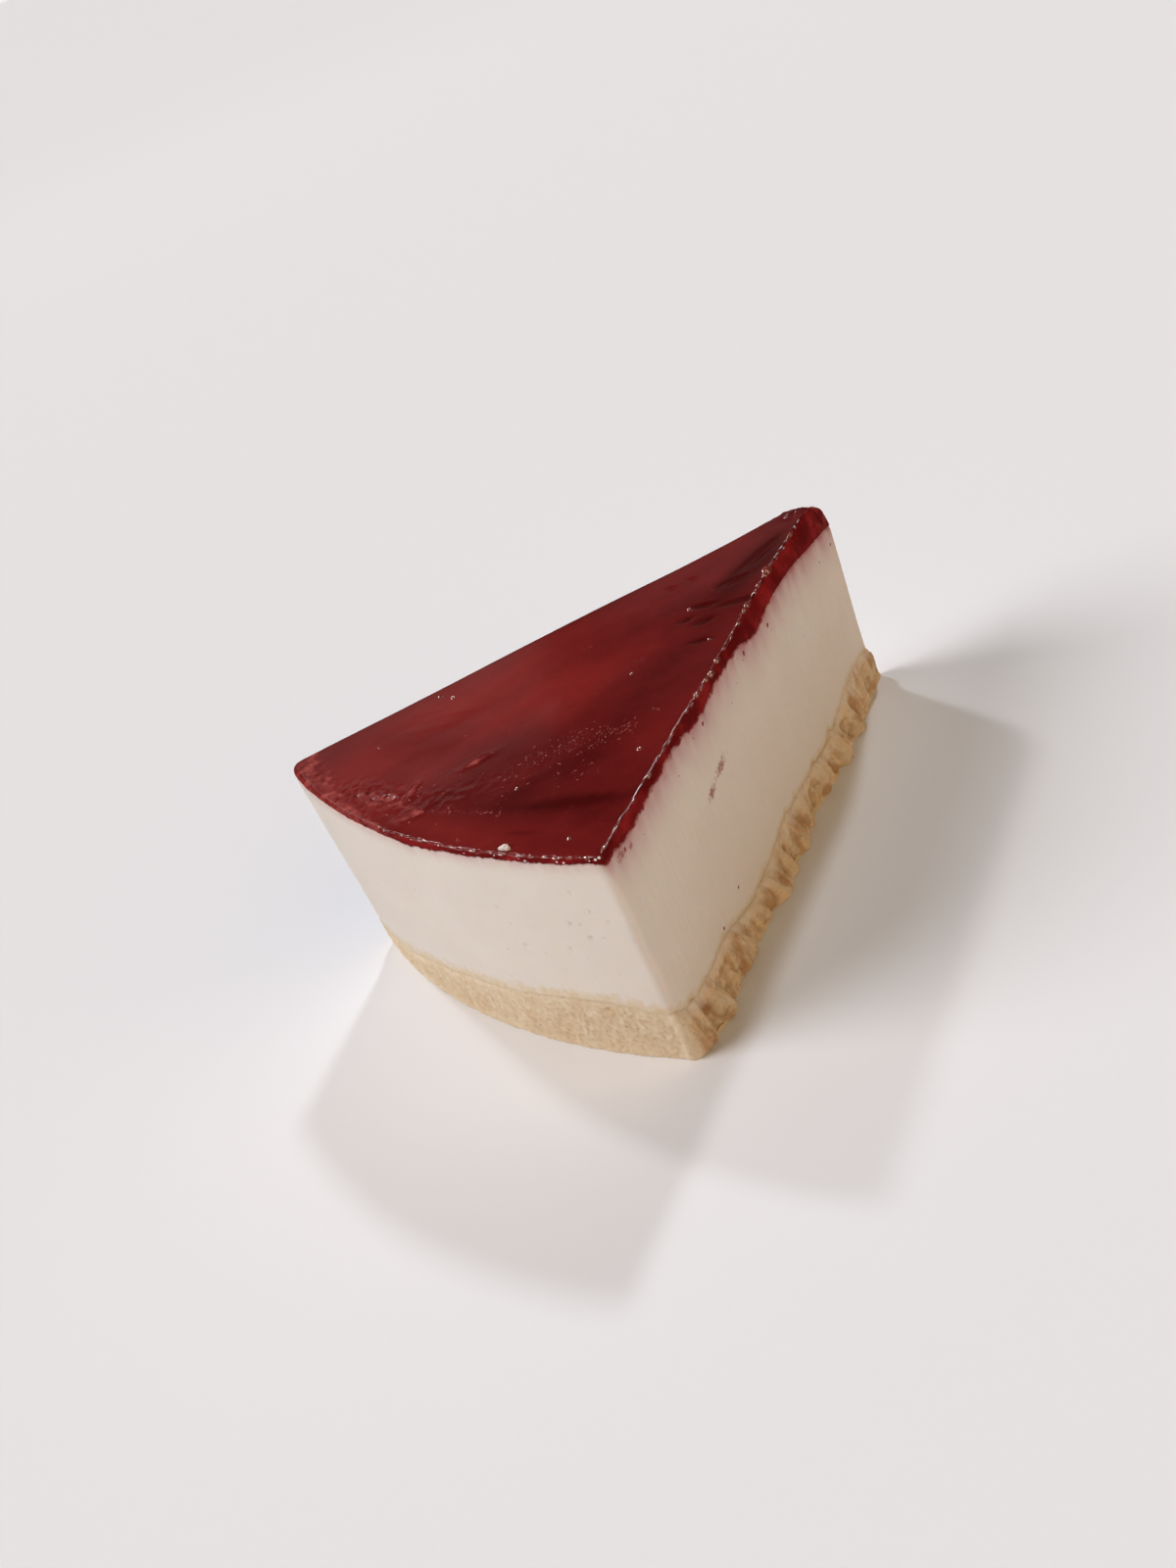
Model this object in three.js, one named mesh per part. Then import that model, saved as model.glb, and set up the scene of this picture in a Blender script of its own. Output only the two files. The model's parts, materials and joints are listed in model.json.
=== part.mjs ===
// Raspberry cheesecake slice: about an eighth of a 23 cm cake, with a biscuit base, a cream
// cheese filling and a raspberry jelly top. Millimetres, +Z up. The rim faces -Y, the tip +Y
// and the cut that shows best +X. The origin is the middle of the box that holds the slice,
// at the level of its underside.

import * as THREE from "three";

const { lerp, clamp, smoothstep, degToRad, radToDeg, seededRandom } = THREE.MathUtils;

// The whole slice. The tin's wall leans out, so the rim is wider at the top.
const SLICE_ANGLE = degToRad(42.2);
const HALF_ANGLE = SLICE_ANGLE / 2;
const RIM_RADIUS_BASE = 114.2;
const RIM_RADIUS_TOP = 117.25;
const HEIGHT = 44.1;
const SHOWN_CORNER_RADIUS = 1.3;
const HIDDEN_CORNER_RADIUS = 2.6;
const TIP_RADIUS = 0.8;
const LAYER_GAP = 0.3;

// Where the tip's round edge begins on each cut, as a distance from the cake's centre, and
// how far from there the points of an outline still slide along the cut when it is moved.
const TIP_END = TIP_RADIUS / Math.tan(HALF_ANGLE);
const TIP_REACH = 14;

// The knife dragged the soft tip down over its last few millimetres.
const TIP_DROOP = { length: 10, depth: 4.8, power: 1.7 };

// The jelly's top is level but for a swell too low to see except in its gloss.
const TOP_SWELL = { height: 0.12, length: 76, width: 58 };

// Each table below gives a size round the rim by angle from the slice's middle, in degrees,
// and along each cut by distance from the cake's centre at the level of the underside.
// Height of the biscuit base.
const BASE_HEIGHT = {
  rim: [[-21, 7], [-14, 8.1], [-5, 10.8], [5, 11.7], [16, 12.9], [21, 10.6]],
  shownCut: [
    [0, 8.2], [12, 9.2], [30, 5.9], [45, 6.7], [62, 7.1], [70, 5.3],
    [80, 5], [92, 7.6], [101, 7.2], [111, 8.6], [114, 10.6],
  ],
  hiddenCut: [[0, 8.2], [30, 6], [60, 7.4], [90, 6.2], [114, 7]],
  middle: 7.5,
};

// How far the torn biscuit stands out of the smooth cut of the cream above it.
const BASE_PROUD = {
  rim: [[-21, 0.1], [0, 0], [21, 0.1]],
  shownCut: [
    [0, 1], [7, 1.2], [16, 2.1], [30, 2.3], [38, 1.8], [47, 1.1],
    [57, 2.4], [68, 2.8], [80, 2.1], [97, 2.2], [105, 3.1], [114, 1.8],
  ],
  hiddenCut: [[0, 1], [12, 1.7], [35, 2.3], [60, 1.5], [85, 2.4], [114, 1.6]],
};

// The torn biscuit breaks into lumps with narrow clefts between them, which lean over by the
// slant from the underside to the cream. A lump's height varies from the least share to all.
const LUMP = { narrowest: 5, widest: 12, height: 1.3, leastShare: 0.35, slant: 2.2, roundness: 3 };
const LUMP_SEED = { shownCut: 11, hiddenCut: 57 };

// Lumps and waves of the cuts fade out over these lengths next to the tip and the rim.
const FADE = { atTip: 8, atRim: 7 };

// Where the biscuit meets the tin its lower edge has crumbled a little, in waves so many
// degrees long.
const CRUMBLE = { depth: 0.15, longWave: 3.3, shortWave: 1.9 };

// Depth of the jelly's lower edge under the level of the cake's top.
const JELLY_DEPTH = {
  rim: [[-21, 1.6], [-14, 1.3], [0, 1.5], [9, 1.1], [21, 1.2]],
  shownCut: [
    [0, 7.4], [14, 5.5], [24, 4], [37, 3.5], [46, 4.4], [53, 2.5],
    [64, 2.1], [75, 2.9], [82, 1.6], [93, 1.7], [106, 2.6], [114, 1.2],
  ],
  hiddenCut: [[0, 7.4], [15, 5.2], [40, 3.4], [65, 1.9], [90, 2.4], [114, 1.6]],
  middle: 2.2,
};

// How far the jelly's top edge has drawn in from the cut or the rim below it, and how round
// it is: 1 is a straight chamfer and 2 a quarter ellipse.
const JELLY_INSET = {
  rim: [[-21, 1.3], [-12, 0.5], [21, 0.35]],
  shownCut: [[0, 0.5], [12, 1.1], [30, 1.6], [60, 0.9], [114, 0.8]],
  hiddenCut: [[0, 0.6], [12, 1.5], [24, 2.2], [60, 1.6], [114, 0.7]],
};
const JELLY_ROUNDNESS = { rim: 2, shownCut: 1.4, hiddenCut: 2 };

// The knife left a shallow wave on the cream, which leans over by the slant as it rises.
const CREAM_WAVE = { depth: 0.12, length: 47, slant: 25 };

// Levels of each wall as shares of its height, and how full the base's bulge is at each.
const BASE_LEVELS = [0, 0.1, 0.32, 0.58, 0.82, 0.96, 1];
const BASE_BULGE = [0.8, 0.96, 1, 0.92, 0.68, 0.35, 0];
const CREAM_LEVELS = [0, 0.3, 0.65, 1];
const JELLY_LEVELS = [0, 0.45, 0.75, 0.92, 1];

// Faces along each stretch of the outline; their sum halves evenly four times.
const RIM_FACES = 40;
const CUT_FACES = 70;
const CORNER_FACES = 4;
const TIP_FACES = 4;

// How large each ring of a layer's flat side is, as a share of the outline. They shrink
// towards a middle this far from the cake's centre.
const INTERFACE_RINGS = [0.93, 0.75, 0.45];
const TOP_RINGS = [0.985, 0.95, 0.86, 0.68, 0.4];
const FULL_TOP_RINGS = 2;
const EVEN_INSIDE = 0.4;
const MIDDLE_OUT = 76;

const MATERIALS = {
  base: { color: 0xcbb086, roughness: 0.92, metalness: 0 },
  cream: { color: 0xdccfc0, roughness: 0.5, metalness: 0 },
  jelly: { color: 0x6b1418, roughness: 0.16, metalness: 0 },
};

// A smooth curve through pairs of place and value.
function curveThrough(pairs) {
  const places = pairs.map((pair) => pair[0]);
  const values = pairs.map((pair) => pair[1]);
  const curve = new THREE.CubicInterpolant(places, values, 1, [0]);
  const last = places[places.length - 1];
  return (place) => curve.evaluate(clamp(place, places[0], last))[0];
}

// One curve for each side of the slice, read at a station of the outline.
function alongSides(table) {
  const curves = {
    rim: curveThrough(table.rim),
    shownCut: curveThrough(table.shownCut),
    hiddenCut: curveThrough(table.hiddenCut),
  };
  return (station) => {
    const here = curves[station.side](station.along);
    if (!station.next) return here;
    return lerp(here, curves[station.next.side](station.next.along), station.next.share);
  };
}

// A station is one of the points that every ring of every layer has, counterclockwise seen
// from above. Its place(radius, offset) gives the point on an outline for a rim of that
// radius, moved out all round by the offset: first its distance from the cake's centre along
// the slice's middle, then its distance from that middle towards the shown cut.
function rimStation(share) {
  const place = (radius, offset) => {
    const [first, last] = [-1, 1].map((hand) => hand * cornerFillet(radius, hand).angle);
    return onArc(0, 0, radius + offset, lerp(first, last, share));
  };
  return { side: "rim", along: lerp(-1, 1, share) * radToDeg(HALF_ANGLE), place };
}

function onArc(centreOut, centreAcross, radius, angle) {
  return [centreOut + radius * Math.cos(angle), centreAcross + radius * Math.sin(angle)];
}

function cornerFillet(radius, hand) {
  const size = hand > 0 ? SHOWN_CORNER_RADIUS : HIDDEN_CORNER_RADIUS;
  const distance = radius - size;
  return { size, distance, angle: HALF_ANGLE - Math.asin(size / distance) };
}

function cornerStation(share, hand) {
  const turned = hand > 0 ? share : 1 - share;
  const place = (radius, offset) => {
    const { size, distance, angle } = cornerFillet(radius, hand);
    const centreOut = distance * Math.cos(angle);
    const centreAcross = hand * distance * Math.sin(angle);
    const facing = lerp(angle, HALF_ANGLE + Math.PI / 2, turned);
    return onArc(centreOut, centreAcross, size + offset, hand * facing);
  };
  const next = { side: hand > 0 ? "shownCut" : "hiddenCut", along: RIM_RADIUS_BASE, share: turned };
  return { side: "rim", along: hand * radToDeg(HALF_ANGLE), next, place };
}

function cutStation(share, hand) {
  const inward = hand > 0 ? share : 1 - share;
  const distance = (radius) => {
    const corner = cornerFillet(radius, hand);
    return lerp(corner.distance * Math.cos(HALF_ANGLE - corner.angle), TIP_END, inward);
  };
  const place = (radius, offset) => {
    const nearTip = clamp((TIP_REACH - distance(radius)) / (TIP_REACH - TIP_END), 0, 1) ** 2;
    const reach = distance(radius) - (nearTip * offset) / Math.tan(HALF_ANGLE);
    const out = reach * Math.cos(HALF_ANGLE) - offset * Math.sin(HALF_ANGLE);
    const across = reach * Math.sin(HALF_ANGLE) + offset * Math.cos(HALF_ANGLE);
    return [out, hand * across];
  };
  return { side: hand > 0 ? "shownCut" : "hiddenCut", along: distance(RIM_RADIUS_BASE), place };
}

function tipStation(share) {
  const facing = lerp(HALF_ANGLE + Math.PI / 2, 1.5 * Math.PI - HALF_ANGLE, share);
  const centreOut = (offset) => (TIP_RADIUS - offset) / Math.sin(HALF_ANGLE);
  const place = (radius, offset) => onArc(centreOut(offset), 0, TIP_RADIUS, facing);
  return { side: "shownCut", along: 0, next: { side: "hiddenCut", along: 0, share }, place };
}

function outlineStations() {
  const stretch = (faces, station) => Array.from({ length: faces }, (_, i) => station(i / faces));
  return [
    ...stretch(RIM_FACES, rimStation),
    ...stretch(CORNER_FACES, (share) => cornerStation(share, 1)),
    ...stretch(CUT_FACES, (share) => cutStation(share, 1)),
    ...stretch(TIP_FACES, tipStation),
    ...stretch(CUT_FACES, (share) => cutStation(share, -1)),
    ...stretch(CORNER_FACES, (share) => cornerStation(share, -1)),
  ];
}

// The lumps of one torn cut: where each ends, and how far it stands out.
function tornLumps(seed) {
  const lumps = [];
  for (let end = 0, i = 0; end < RIM_RADIUS_TOP + LUMP.widest; i++) {
    const start = end;
    end += lerp(LUMP.narrowest, LUMP.widest, seededRandom(seed + 2 * i));
    lumps.push({ start, end, share: lerp(LUMP.leastShare, 1, seededRandom(seed + 2 * i + 1)) });
  }
  return lumps;
}

const LUMPS = {
  shownCut: tornLumps(LUMP_SEED.shownCut),
  hiddenCut: tornLumps(LUMP_SEED.hiddenCut),
};

// 1 along a cut, falling to 0 where the cut meets the rim or the tip.
function onCut(station) {
  if (station.side === "rim" || station.next) return 0;
  const fromRim = RIM_RADIUS_BASE - station.along;
  return smoothstep(station.along, 0, FADE.atTip) * smoothstep(fromRim, 0, FADE.atRim);
}

// Out of the base's mean surface on a lump, and into it at a cleft.
function lumpAt(station, level) {
  if (!onCut(station)) return 0;
  const place = station.along + LUMP.slant * level;
  const lump = LUMPS[station.side].find((each) => place < each.end);
  const fromMiddle = Math.abs((2 * (place - lump.start)) / (lump.end - lump.start) - 1);
  const fullness = lump.share * (1 - fromMiddle ** LUMP.roundness);
  return LUMP.height * (fullness - 1 / 2) * onCut(station);
}

function wave(place, length) {
  return Math.sin((2 * Math.PI * place) / length);
}

function crumbleAt(station) {
  if (station.side !== "rim") return 0;
  const waves = wave(station.along, CRUMBLE.longWave) + wave(station.along, CRUMBLE.shortWave);
  return (CRUMBLE.depth * waves) / 2;
}

const baseHeightAt = alongSides(BASE_HEIGHT);
const baseProudAt = alongSides(BASE_PROUD);
const jellyDepthAt = alongSides(JELLY_DEPTH);
const jellyInsetAt = alongSides(JELLY_INSET);

function topHeightAt(out, across) {
  const fromTip = Math.hypot(out, across);
  const droop = TIP_DROOP.depth * Math.max(0, 1 - fromTip / TIP_DROOP.length) ** TIP_DROOP.power;
  const swell = wave(out, TOP_SWELL.length) * wave(across, TOP_SWELL.width);
  return HEIGHT - droop - TOP_SWELL.height * (1 - swell);
}

function rimRadiusAt(height) {
  return lerp(RIM_RADIUS_BASE, RIM_RADIUS_TOP, height / HEIGHT);
}

// The point of a station at a height, moved out by an offset.
function wallPoint(station, height, offset) {
  return [...station.place(rimRadiusAt(height), offset), height];
}

// Heights of the layers' meeting sides, half the gap off the line where they meet.
const baseTopAt = (station) => baseHeightAt(station) - LAYER_GAP / 2;
const creamLowAt = (station) => baseHeightAt(station) + LAYER_GAP / 2;
const creamTopAt = (station) => HEIGHT - jellyDepthAt(station) - LAYER_GAP / 2;
const jellyLowAt = (station) => HEIGHT - jellyDepthAt(station) + LAYER_GAP / 2;
const baseTopMiddle = BASE_HEIGHT.middle - LAYER_GAP / 2;
const jellyLowMiddle = HEIGHT - JELLY_DEPTH.middle + LAYER_GAP / 2;

function baseWall(stations, level, i) {
  return stations.map((station) => {
    const bulge = baseProudAt(station) * BASE_BULGE[i];
    const torn = lumpAt(station, level) * BASE_BULGE[i];
    const crumble = crumbleAt(station) * (1 - level);
    return wallPoint(station, level * baseTopAt(station), Math.max(bulge + torn, 0) + crumble);
  });
}

function creamWall(stations, level) {
  return stations.map((station) => {
    const place = station.along + CREAM_WAVE.slant * level;
    const offset = CREAM_WAVE.depth * (wave(place, CREAM_WAVE.length) - 1) * onCut(station);
    return wallPoint(station, lerp(creamLowAt(station), creamTopAt(station), level), offset);
  });
}

function jellyWall(stations, level) {
  return stations.map((station) => {
    const inset = jellyInsetAt(station);
    const roundness = JELLY_ROUNDNESS[station.side];
    const drawnIn = inset * (1 - (1 - level ** roundness) ** (1 / roundness));
    const [out, across] = wallPoint(station, HEIGHT, -inset);
    const height = lerp(jellyLowAt(station), topHeightAt(out, across), level);
    return wallPoint(station, height, -drawnIn);
  });
}

// A closed mesh made of rings of points, each ring counterclockwise seen from above.
class LayerMesh {
  positions = [];
  triangles = [];

  addRing(points) {
    const first = this.positions.length / 3;
    for (const [out, across, height] of points) this.positions.push(across, -out, height);
    return points.map((_, i) => first + i);
  }

  addTriangle(a, b, c, flipped) {
    this.triangles.push(...(flipped ? [a, c, b] : [a, b, c]));
  }

  // Two rings with the same count of points.
  bridge(outer, inner, flipped) {
    outer.forEach((corner, i) => {
      const j = (i + 1) % outer.length;
      this.addTriangle(corner, outer[j], inner[j], flipped);
      this.addTriangle(corner, inner[j], inner[i], flipped);
    });
  }

  // A ring and one inside it with half as many points.
  bridgeHalving(outer, inner, flipped) {
    inner.forEach((corner, i) => {
      const [first, middle, last] = [0, 1, 2].map((step) => outer[(2 * i + step) % outer.length]);
      const next = inner[(i + 1) % inner.length];
      this.addTriangle(first, middle, corner, flipped);
      this.addTriangle(middle, next, corner, flipped);
      this.addTriangle(middle, last, next, flipped);
    });
  }

  fan(ring, centre, flipped) {
    const [middle] = this.addRing([centre]);
    ring.forEach((corner, i) => {
      this.addTriangle(corner, ring[(i + 1) % ring.length], middle, flipped);
    });
  }

  toMesh(name, finish) {
    const geometry = new THREE.BufferGeometry();
    geometry.setAttribute("position", new THREE.Float32BufferAttribute(this.positions, 3));
    geometry.setIndex(this.triangles);
    geometry.computeVertexNormals();
    const mesh = new THREE.Mesh(geometry, new THREE.MeshStandardMaterial(finish));
    mesh.name = name;
    return mesh;
  }
}

// A ring drawn in towards the middle of the slice; heightOf gives each new point's height.
function ringInside(points, share, heightOf) {
  return points.map(([out, across, height]) => {
    const place = [lerp(MIDDLE_OUT, out, share), across * share];
    return [...place, heightOf(...place, height)];
  });
}

// A side that another layer lies against: its edge follows the rim and the cuts, and it
// evens out to one height in the middle. Both layers' sides are worked out from the same
// outline, so they stay parallel.
function addInterface(mesh, stations, edge, heightAt, middleHeight, flipped) {
  let ring = edge.ring;
  INTERFACE_RINGS.forEach((share, i) => {
    const kept = stations.filter((_, j) => j % 2 ** (i + 1) === 0);
    const outline = kept.map((station) => wallPoint(station, heightAt(station), 0));
    const evened = smoothstep(1 - share, 0, 1 - EVEN_INSIDE);
    const heightOf = (out, across, height) => lerp(height, middleHeight, evened);
    const innerRing = mesh.addRing(ringInside(outline, share, heightOf));
    mesh.bridgeHalving(ring, innerRing, flipped);
    ring = innerRing;
  });
  mesh.fan(ring, [MIDDLE_OUT, 0, middleHeight], flipped);
}

// The glossy top: its first rings keep every point, and each later one has half as many.
function addTop(mesh, edge) {
  let ring = edge.ring;
  TOP_RINGS.forEach((share, i) => {
    const step = 2 ** Math.max(0, i + 1 - FULL_TOP_RINGS);
    const kept = edge.points.filter((_, j) => j % step === 0);
    const innerRing = mesh.addRing(ringInside(kept, share, topHeightAt));
    if (innerRing.length < ring.length) mesh.bridgeHalving(ring, innerRing, false);
    else mesh.bridge(ring, innerRing, false);
    ring = innerRing;
  });
  mesh.fan(ring, [MIDDLE_OUT, 0, topHeightAt(MIDDLE_OUT, 0)], false);
}

function addWall(mesh, stations, levels, wallAt) {
  const rows = levels.map((level, i) => {
    const points = wallAt(stations, level, i);
    return { points, ring: mesh.addRing(points) };
  });
  rows.slice(1).forEach((row, i) => mesh.bridge(rows[i].ring, row.ring, false));
  return { low: rows[0], high: rows[rows.length - 1] };
}

function biscuitBase(stations) {
  const mesh = new LayerMesh();
  const wall = addWall(mesh, stations, BASE_LEVELS, baseWall);
  mesh.fan(wall.low.ring, [MIDDLE_OUT, 0, 0], true);
  addInterface(mesh, stations, wall.high, baseTopAt, baseTopMiddle, false);
  return mesh.toMesh("biscuit_base", MATERIALS.base);
}

function creamFilling(stations) {
  const mesh = new LayerMesh();
  const wall = addWall(mesh, stations, CREAM_LEVELS, creamWall);
  addInterface(mesh, stations, wall.low, creamLowAt, baseTopMiddle + LAYER_GAP, true);
  addInterface(mesh, stations, wall.high, creamTopAt, jellyLowMiddle - LAYER_GAP, false);
  return mesh.toMesh("cream_filling", MATERIALS.cream);
}

function raspberryJelly(stations) {
  const mesh = new LayerMesh();
  const wall = addWall(mesh, stations, JELLY_LEVELS, jellyWall);
  addInterface(mesh, stations, wall.low, jellyLowAt, jellyLowMiddle, true);
  addTop(mesh, wall.high);
  return mesh.toMesh("raspberry_jelly", MATERIALS.jelly);
}

function cheesecakeSlice() {
  const stations = outlineStations();
  const layers = new THREE.Group();
  layers.add(biscuitBase(stations), creamFilling(stations), raspberryJelly(stations));
  const box = new THREE.Box3().setFromObject(layers);
  const middle = box.getCenter(new THREE.Vector3());
  layers.position.set(-middle.x, -middle.y, -box.min.z);
  const slice = new THREE.Group();
  slice.add(layers);
  return slice;
}

export default cheesecakeSlice();
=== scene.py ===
"""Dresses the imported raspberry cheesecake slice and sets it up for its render.

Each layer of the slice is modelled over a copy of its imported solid, which it replaces. Small
things that the solids leave out, such as beads and specks of jelly, are pieces of their own.
"""

import json
import logging
import math
from contextlib import contextmanager
from dataclasses import dataclass
from enum import Enum
from typing import Iterator, Sequence

import bmesh
import bpy
import numpy as np
from mathutils import Euler, Matrix, Quaternion, Vector, noise
from mathutils.bvhtree import BVHTree

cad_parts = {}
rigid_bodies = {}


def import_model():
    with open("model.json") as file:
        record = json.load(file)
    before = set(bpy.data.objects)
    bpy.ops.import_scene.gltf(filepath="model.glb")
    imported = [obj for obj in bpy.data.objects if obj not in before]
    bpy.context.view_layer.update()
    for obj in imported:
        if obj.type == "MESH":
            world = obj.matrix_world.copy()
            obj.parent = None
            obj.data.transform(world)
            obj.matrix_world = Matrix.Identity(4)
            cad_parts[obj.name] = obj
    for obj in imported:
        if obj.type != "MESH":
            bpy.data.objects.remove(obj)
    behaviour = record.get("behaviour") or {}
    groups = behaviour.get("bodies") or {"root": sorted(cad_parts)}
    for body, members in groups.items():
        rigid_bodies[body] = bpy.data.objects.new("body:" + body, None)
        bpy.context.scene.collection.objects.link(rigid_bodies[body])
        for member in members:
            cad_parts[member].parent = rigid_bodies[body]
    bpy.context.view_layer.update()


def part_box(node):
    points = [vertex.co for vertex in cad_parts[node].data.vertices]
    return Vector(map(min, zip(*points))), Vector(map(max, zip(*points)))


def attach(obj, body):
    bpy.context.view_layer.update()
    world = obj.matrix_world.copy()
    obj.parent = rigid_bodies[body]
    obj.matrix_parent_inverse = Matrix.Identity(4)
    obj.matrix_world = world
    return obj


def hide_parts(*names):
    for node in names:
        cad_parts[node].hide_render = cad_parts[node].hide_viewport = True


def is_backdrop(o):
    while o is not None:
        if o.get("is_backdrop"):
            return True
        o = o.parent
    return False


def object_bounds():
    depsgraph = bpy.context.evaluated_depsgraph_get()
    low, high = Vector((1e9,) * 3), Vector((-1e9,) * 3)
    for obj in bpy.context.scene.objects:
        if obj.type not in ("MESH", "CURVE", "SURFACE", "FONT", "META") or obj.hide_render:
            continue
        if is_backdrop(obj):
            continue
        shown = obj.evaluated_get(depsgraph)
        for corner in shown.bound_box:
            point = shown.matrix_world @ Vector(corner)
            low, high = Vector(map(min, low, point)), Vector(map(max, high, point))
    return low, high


MM = 0.001
BODY = "root"
FACTORY_OBJECTS = ("Cube", "Light", "Camera")
# A face lies flat where the upright part of its outward direction is more than this.
LYING_FLAT = 0.4
# How far apart the parts of the endless noise lie that different uses read.
NOISE_STEP = 31.7

NOISE = "ShaderNodeTexNoise"
CELLS = "ShaderNodeTexVoronoi"
MIX = "ShaderNodeMix"
RANGE = "ShaderNodeMapRange"
MATHS = "ShaderNodeMath"
MARK = "ShaderNodeAttribute"
BUMP = "ShaderNodeBump"
SURFACE = "ShaderNodeBsdfPrincipled"

log = logging.getLogger("cheesecake")


# Colours and shader nodes


def linear(hex_colour: str) -> tuple[float, ...]:
    """Turns an sRGB hex colour to the linear colour that shaders take.

    Args:
        hex_colour: The colour as "#rrggbb".

    Returns:
        Red, green, blue and alpha, linear.
    """
    channels = [int(hex_colour[i : i + 2], 16) / 255 for i in (1, 3, 5)]
    return (*(c / 12.92 if c <= 0.04045 else ((c + 0.055) / 1.055) ** 2.4 for c in channels), 1.0)


def add_node(
    tree: bpy.types.NodeTree, kind: str, values: dict | None = None, out: int | str = 0
) -> bpy.types.NodeSocket | None:
    """Adds a node with its settings and links.

    Args:
        tree: The node tree of a material or of the world.
        kind: The node's type name, such as "ShaderNodeMix".
        values: What each property or input takes, by its name or number: a value, or the output
            socket of another node.
        out: The name or number of the output that is wanted.

    Returns:
        That output socket, or None where the node has none.
    """
    node = tree.nodes.new(kind)
    for name, value in (values or {}).items():
        if isinstance(value, bpy.types.NodeSocket):
            tree.links.new(value, node.inputs[name])
        elif isinstance(name, str) and hasattr(node, name):
            setattr(node, name, value)
        else:
            node.inputs[name].default_value = value
    return node.outputs[out] if len(node.outputs) else None


def empty_material(name: str) -> tuple[bpy.types.Material, bpy.types.NodeTree]:
    """Makes a material with no nodes.

    Args:
        name: The name of the real material.

    Returns:
        The material and its node tree.
    """
    material = bpy.data.materials.new(name)
    material.use_nodes = True
    material.node_tree.nodes.clear()
    return material, material.node_tree


# Meshes


def deselect_all() -> None:
    """Deselects every object, because an operator acts on all that is selected."""
    for thing in bpy.context.selected_objects:
        thing.select_set(False)


def activate(piece: bpy.types.Object) -> None:
    """Makes a piece the only one that is selected, and the active one.

    Args:
        piece: The piece.
    """
    deselect_all()
    piece.select_set(True)
    bpy.context.view_layer.objects.active = piece


@contextmanager
def edit_mode(piece: bpy.types.Object) -> Iterator[None]:
    """Holds a piece in edit mode for the operators inside the block.

    Args:
        piece: The piece.

    Returns:
        The context of a with block.
    """
    activate(piece)
    bpy.ops.object.mode_set(mode="EDIT")
    yield
    bpy.ops.object.mode_set(mode="OBJECT")


def apply_modifier(piece: bpy.types.Object, kind: str, **settings: object) -> None:
    """Adds a modifier to a piece and applies it.

    Args:
        piece: The piece that it changes.
        kind: The modifier's type, such as "REMESH".
        **settings: The modifier's properties.
    """
    activate(piece)
    modifier = piece.modifiers.new(kind.title(), kind)
    for name, value in settings.items():
        setattr(modifier, name, value)
    bpy.ops.object.modifier_apply(modifier=modifier.name)


def vertices_of(piece: bpy.types.Object) -> np.ndarray:
    """Reads where a piece's vertices are.

    Args:
        piece: The piece.

    Returns:
        Rows of x, y and z.
    """
    points = np.zeros(len(piece.data.vertices) * 3, np.float32)
    piece.data.vertices.foreach_get("co", points)
    return points.reshape(-1, 3).astype(float)


def move_vertices(piece: bpy.types.Object, points: np.ndarray) -> None:
    """Puts a piece's vertices at new places, given as rows of x, y and z."""
    piece.data.vertices.foreach_set("co", points.astype(np.float32).ravel())
    piece.data.update()


def normals_of(piece: bpy.types.Object) -> np.ndarray:
    """Reads the outward direction at each of a piece's vertices.

    Args:
        piece: The piece.

    Returns:
        Rows of x, y and z, each with a length of 1.
    """
    normals = np.zeros(len(piece.data.vertices) * 3, np.float32)
    piece.data.vertex_normals.foreach_get("vector", normals)
    return normals.reshape(-1, 3).astype(float)


def faces_of(piece: bpy.types.Object) -> tuple[np.ndarray, np.ndarray]:
    """Reads where a piece's faces are and which way they face.

    Args:
        piece: The piece.

    Returns:
        The middles and the outward directions, as rows of x, y and z.
    """
    rows = []
    for name in ("center", "normal"):
        values = np.zeros(len(piece.data.polygons) * 3, np.float32)
        piece.data.polygons.foreach_get(name, values)
        rows.append(values.reshape(-1, 3).astype(float))
    return rows[0], rows[1]


def select_faces(piece: bpy.types.Object, chosen: np.ndarray) -> None:
    """Selects faces of a piece that is in edit mode, and no others.

    Args:
        piece: The piece, in edit mode.
        chosen: True for each face that is wanted.
    """
    bpy.ops.mesh.select_mode(type="FACE")
    bpy.ops.mesh.select_all(action="DESELECT")
    mesh = bmesh.from_edit_mesh(piece.data)
    mesh.faces.ensure_lookup_table()
    for i in np.flatnonzero(chosen):
        mesh.faces[i].select_set(True)
    bmesh.update_edit_mesh(piece.data)


def write_attribute(piece: bpy.types.Object, name: str, values: np.ndarray) -> None:
    """Stores a number at each of a piece's vertices, for its material to read."""
    attribute = piece.data.attributes.new(name, "FLOAT", "POINT")
    attribute.data.foreach_set("value", values.astype(np.float32))


def search_tree(piece: bpy.types.Object) -> BVHTree:
    """Makes a search tree of a piece's mesh."""
    mesh = piece.data
    return BVHTree.FromPolygons([v.co for v in mesh.vertices], [p.vertices for p in mesh.polygons])


def distance_to(piece: bpy.types.Object, points: np.ndarray, far: float) -> np.ndarray:
    """Measures how far each point is from a piece.

    Args:
        piece: The piece.
        points: Rows of x, y and z.
        far: The distance that stands for all that is further.

    Returns:
        The distances.
    """
    tree = search_tree(piece)
    found = (tree.find_nearest(Vector(point), far)[3] for point in points)
    return np.array([far if distance is None else distance for distance in found])


def smooth(values: np.ndarray, start: float, end: float) -> np.ndarray:
    """Rises smoothly from 0 at start to 1 at end."""
    share = np.clip((values - start) / (end - start), 0, 1)
    return share * share * (3 - 2 * share)


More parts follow.
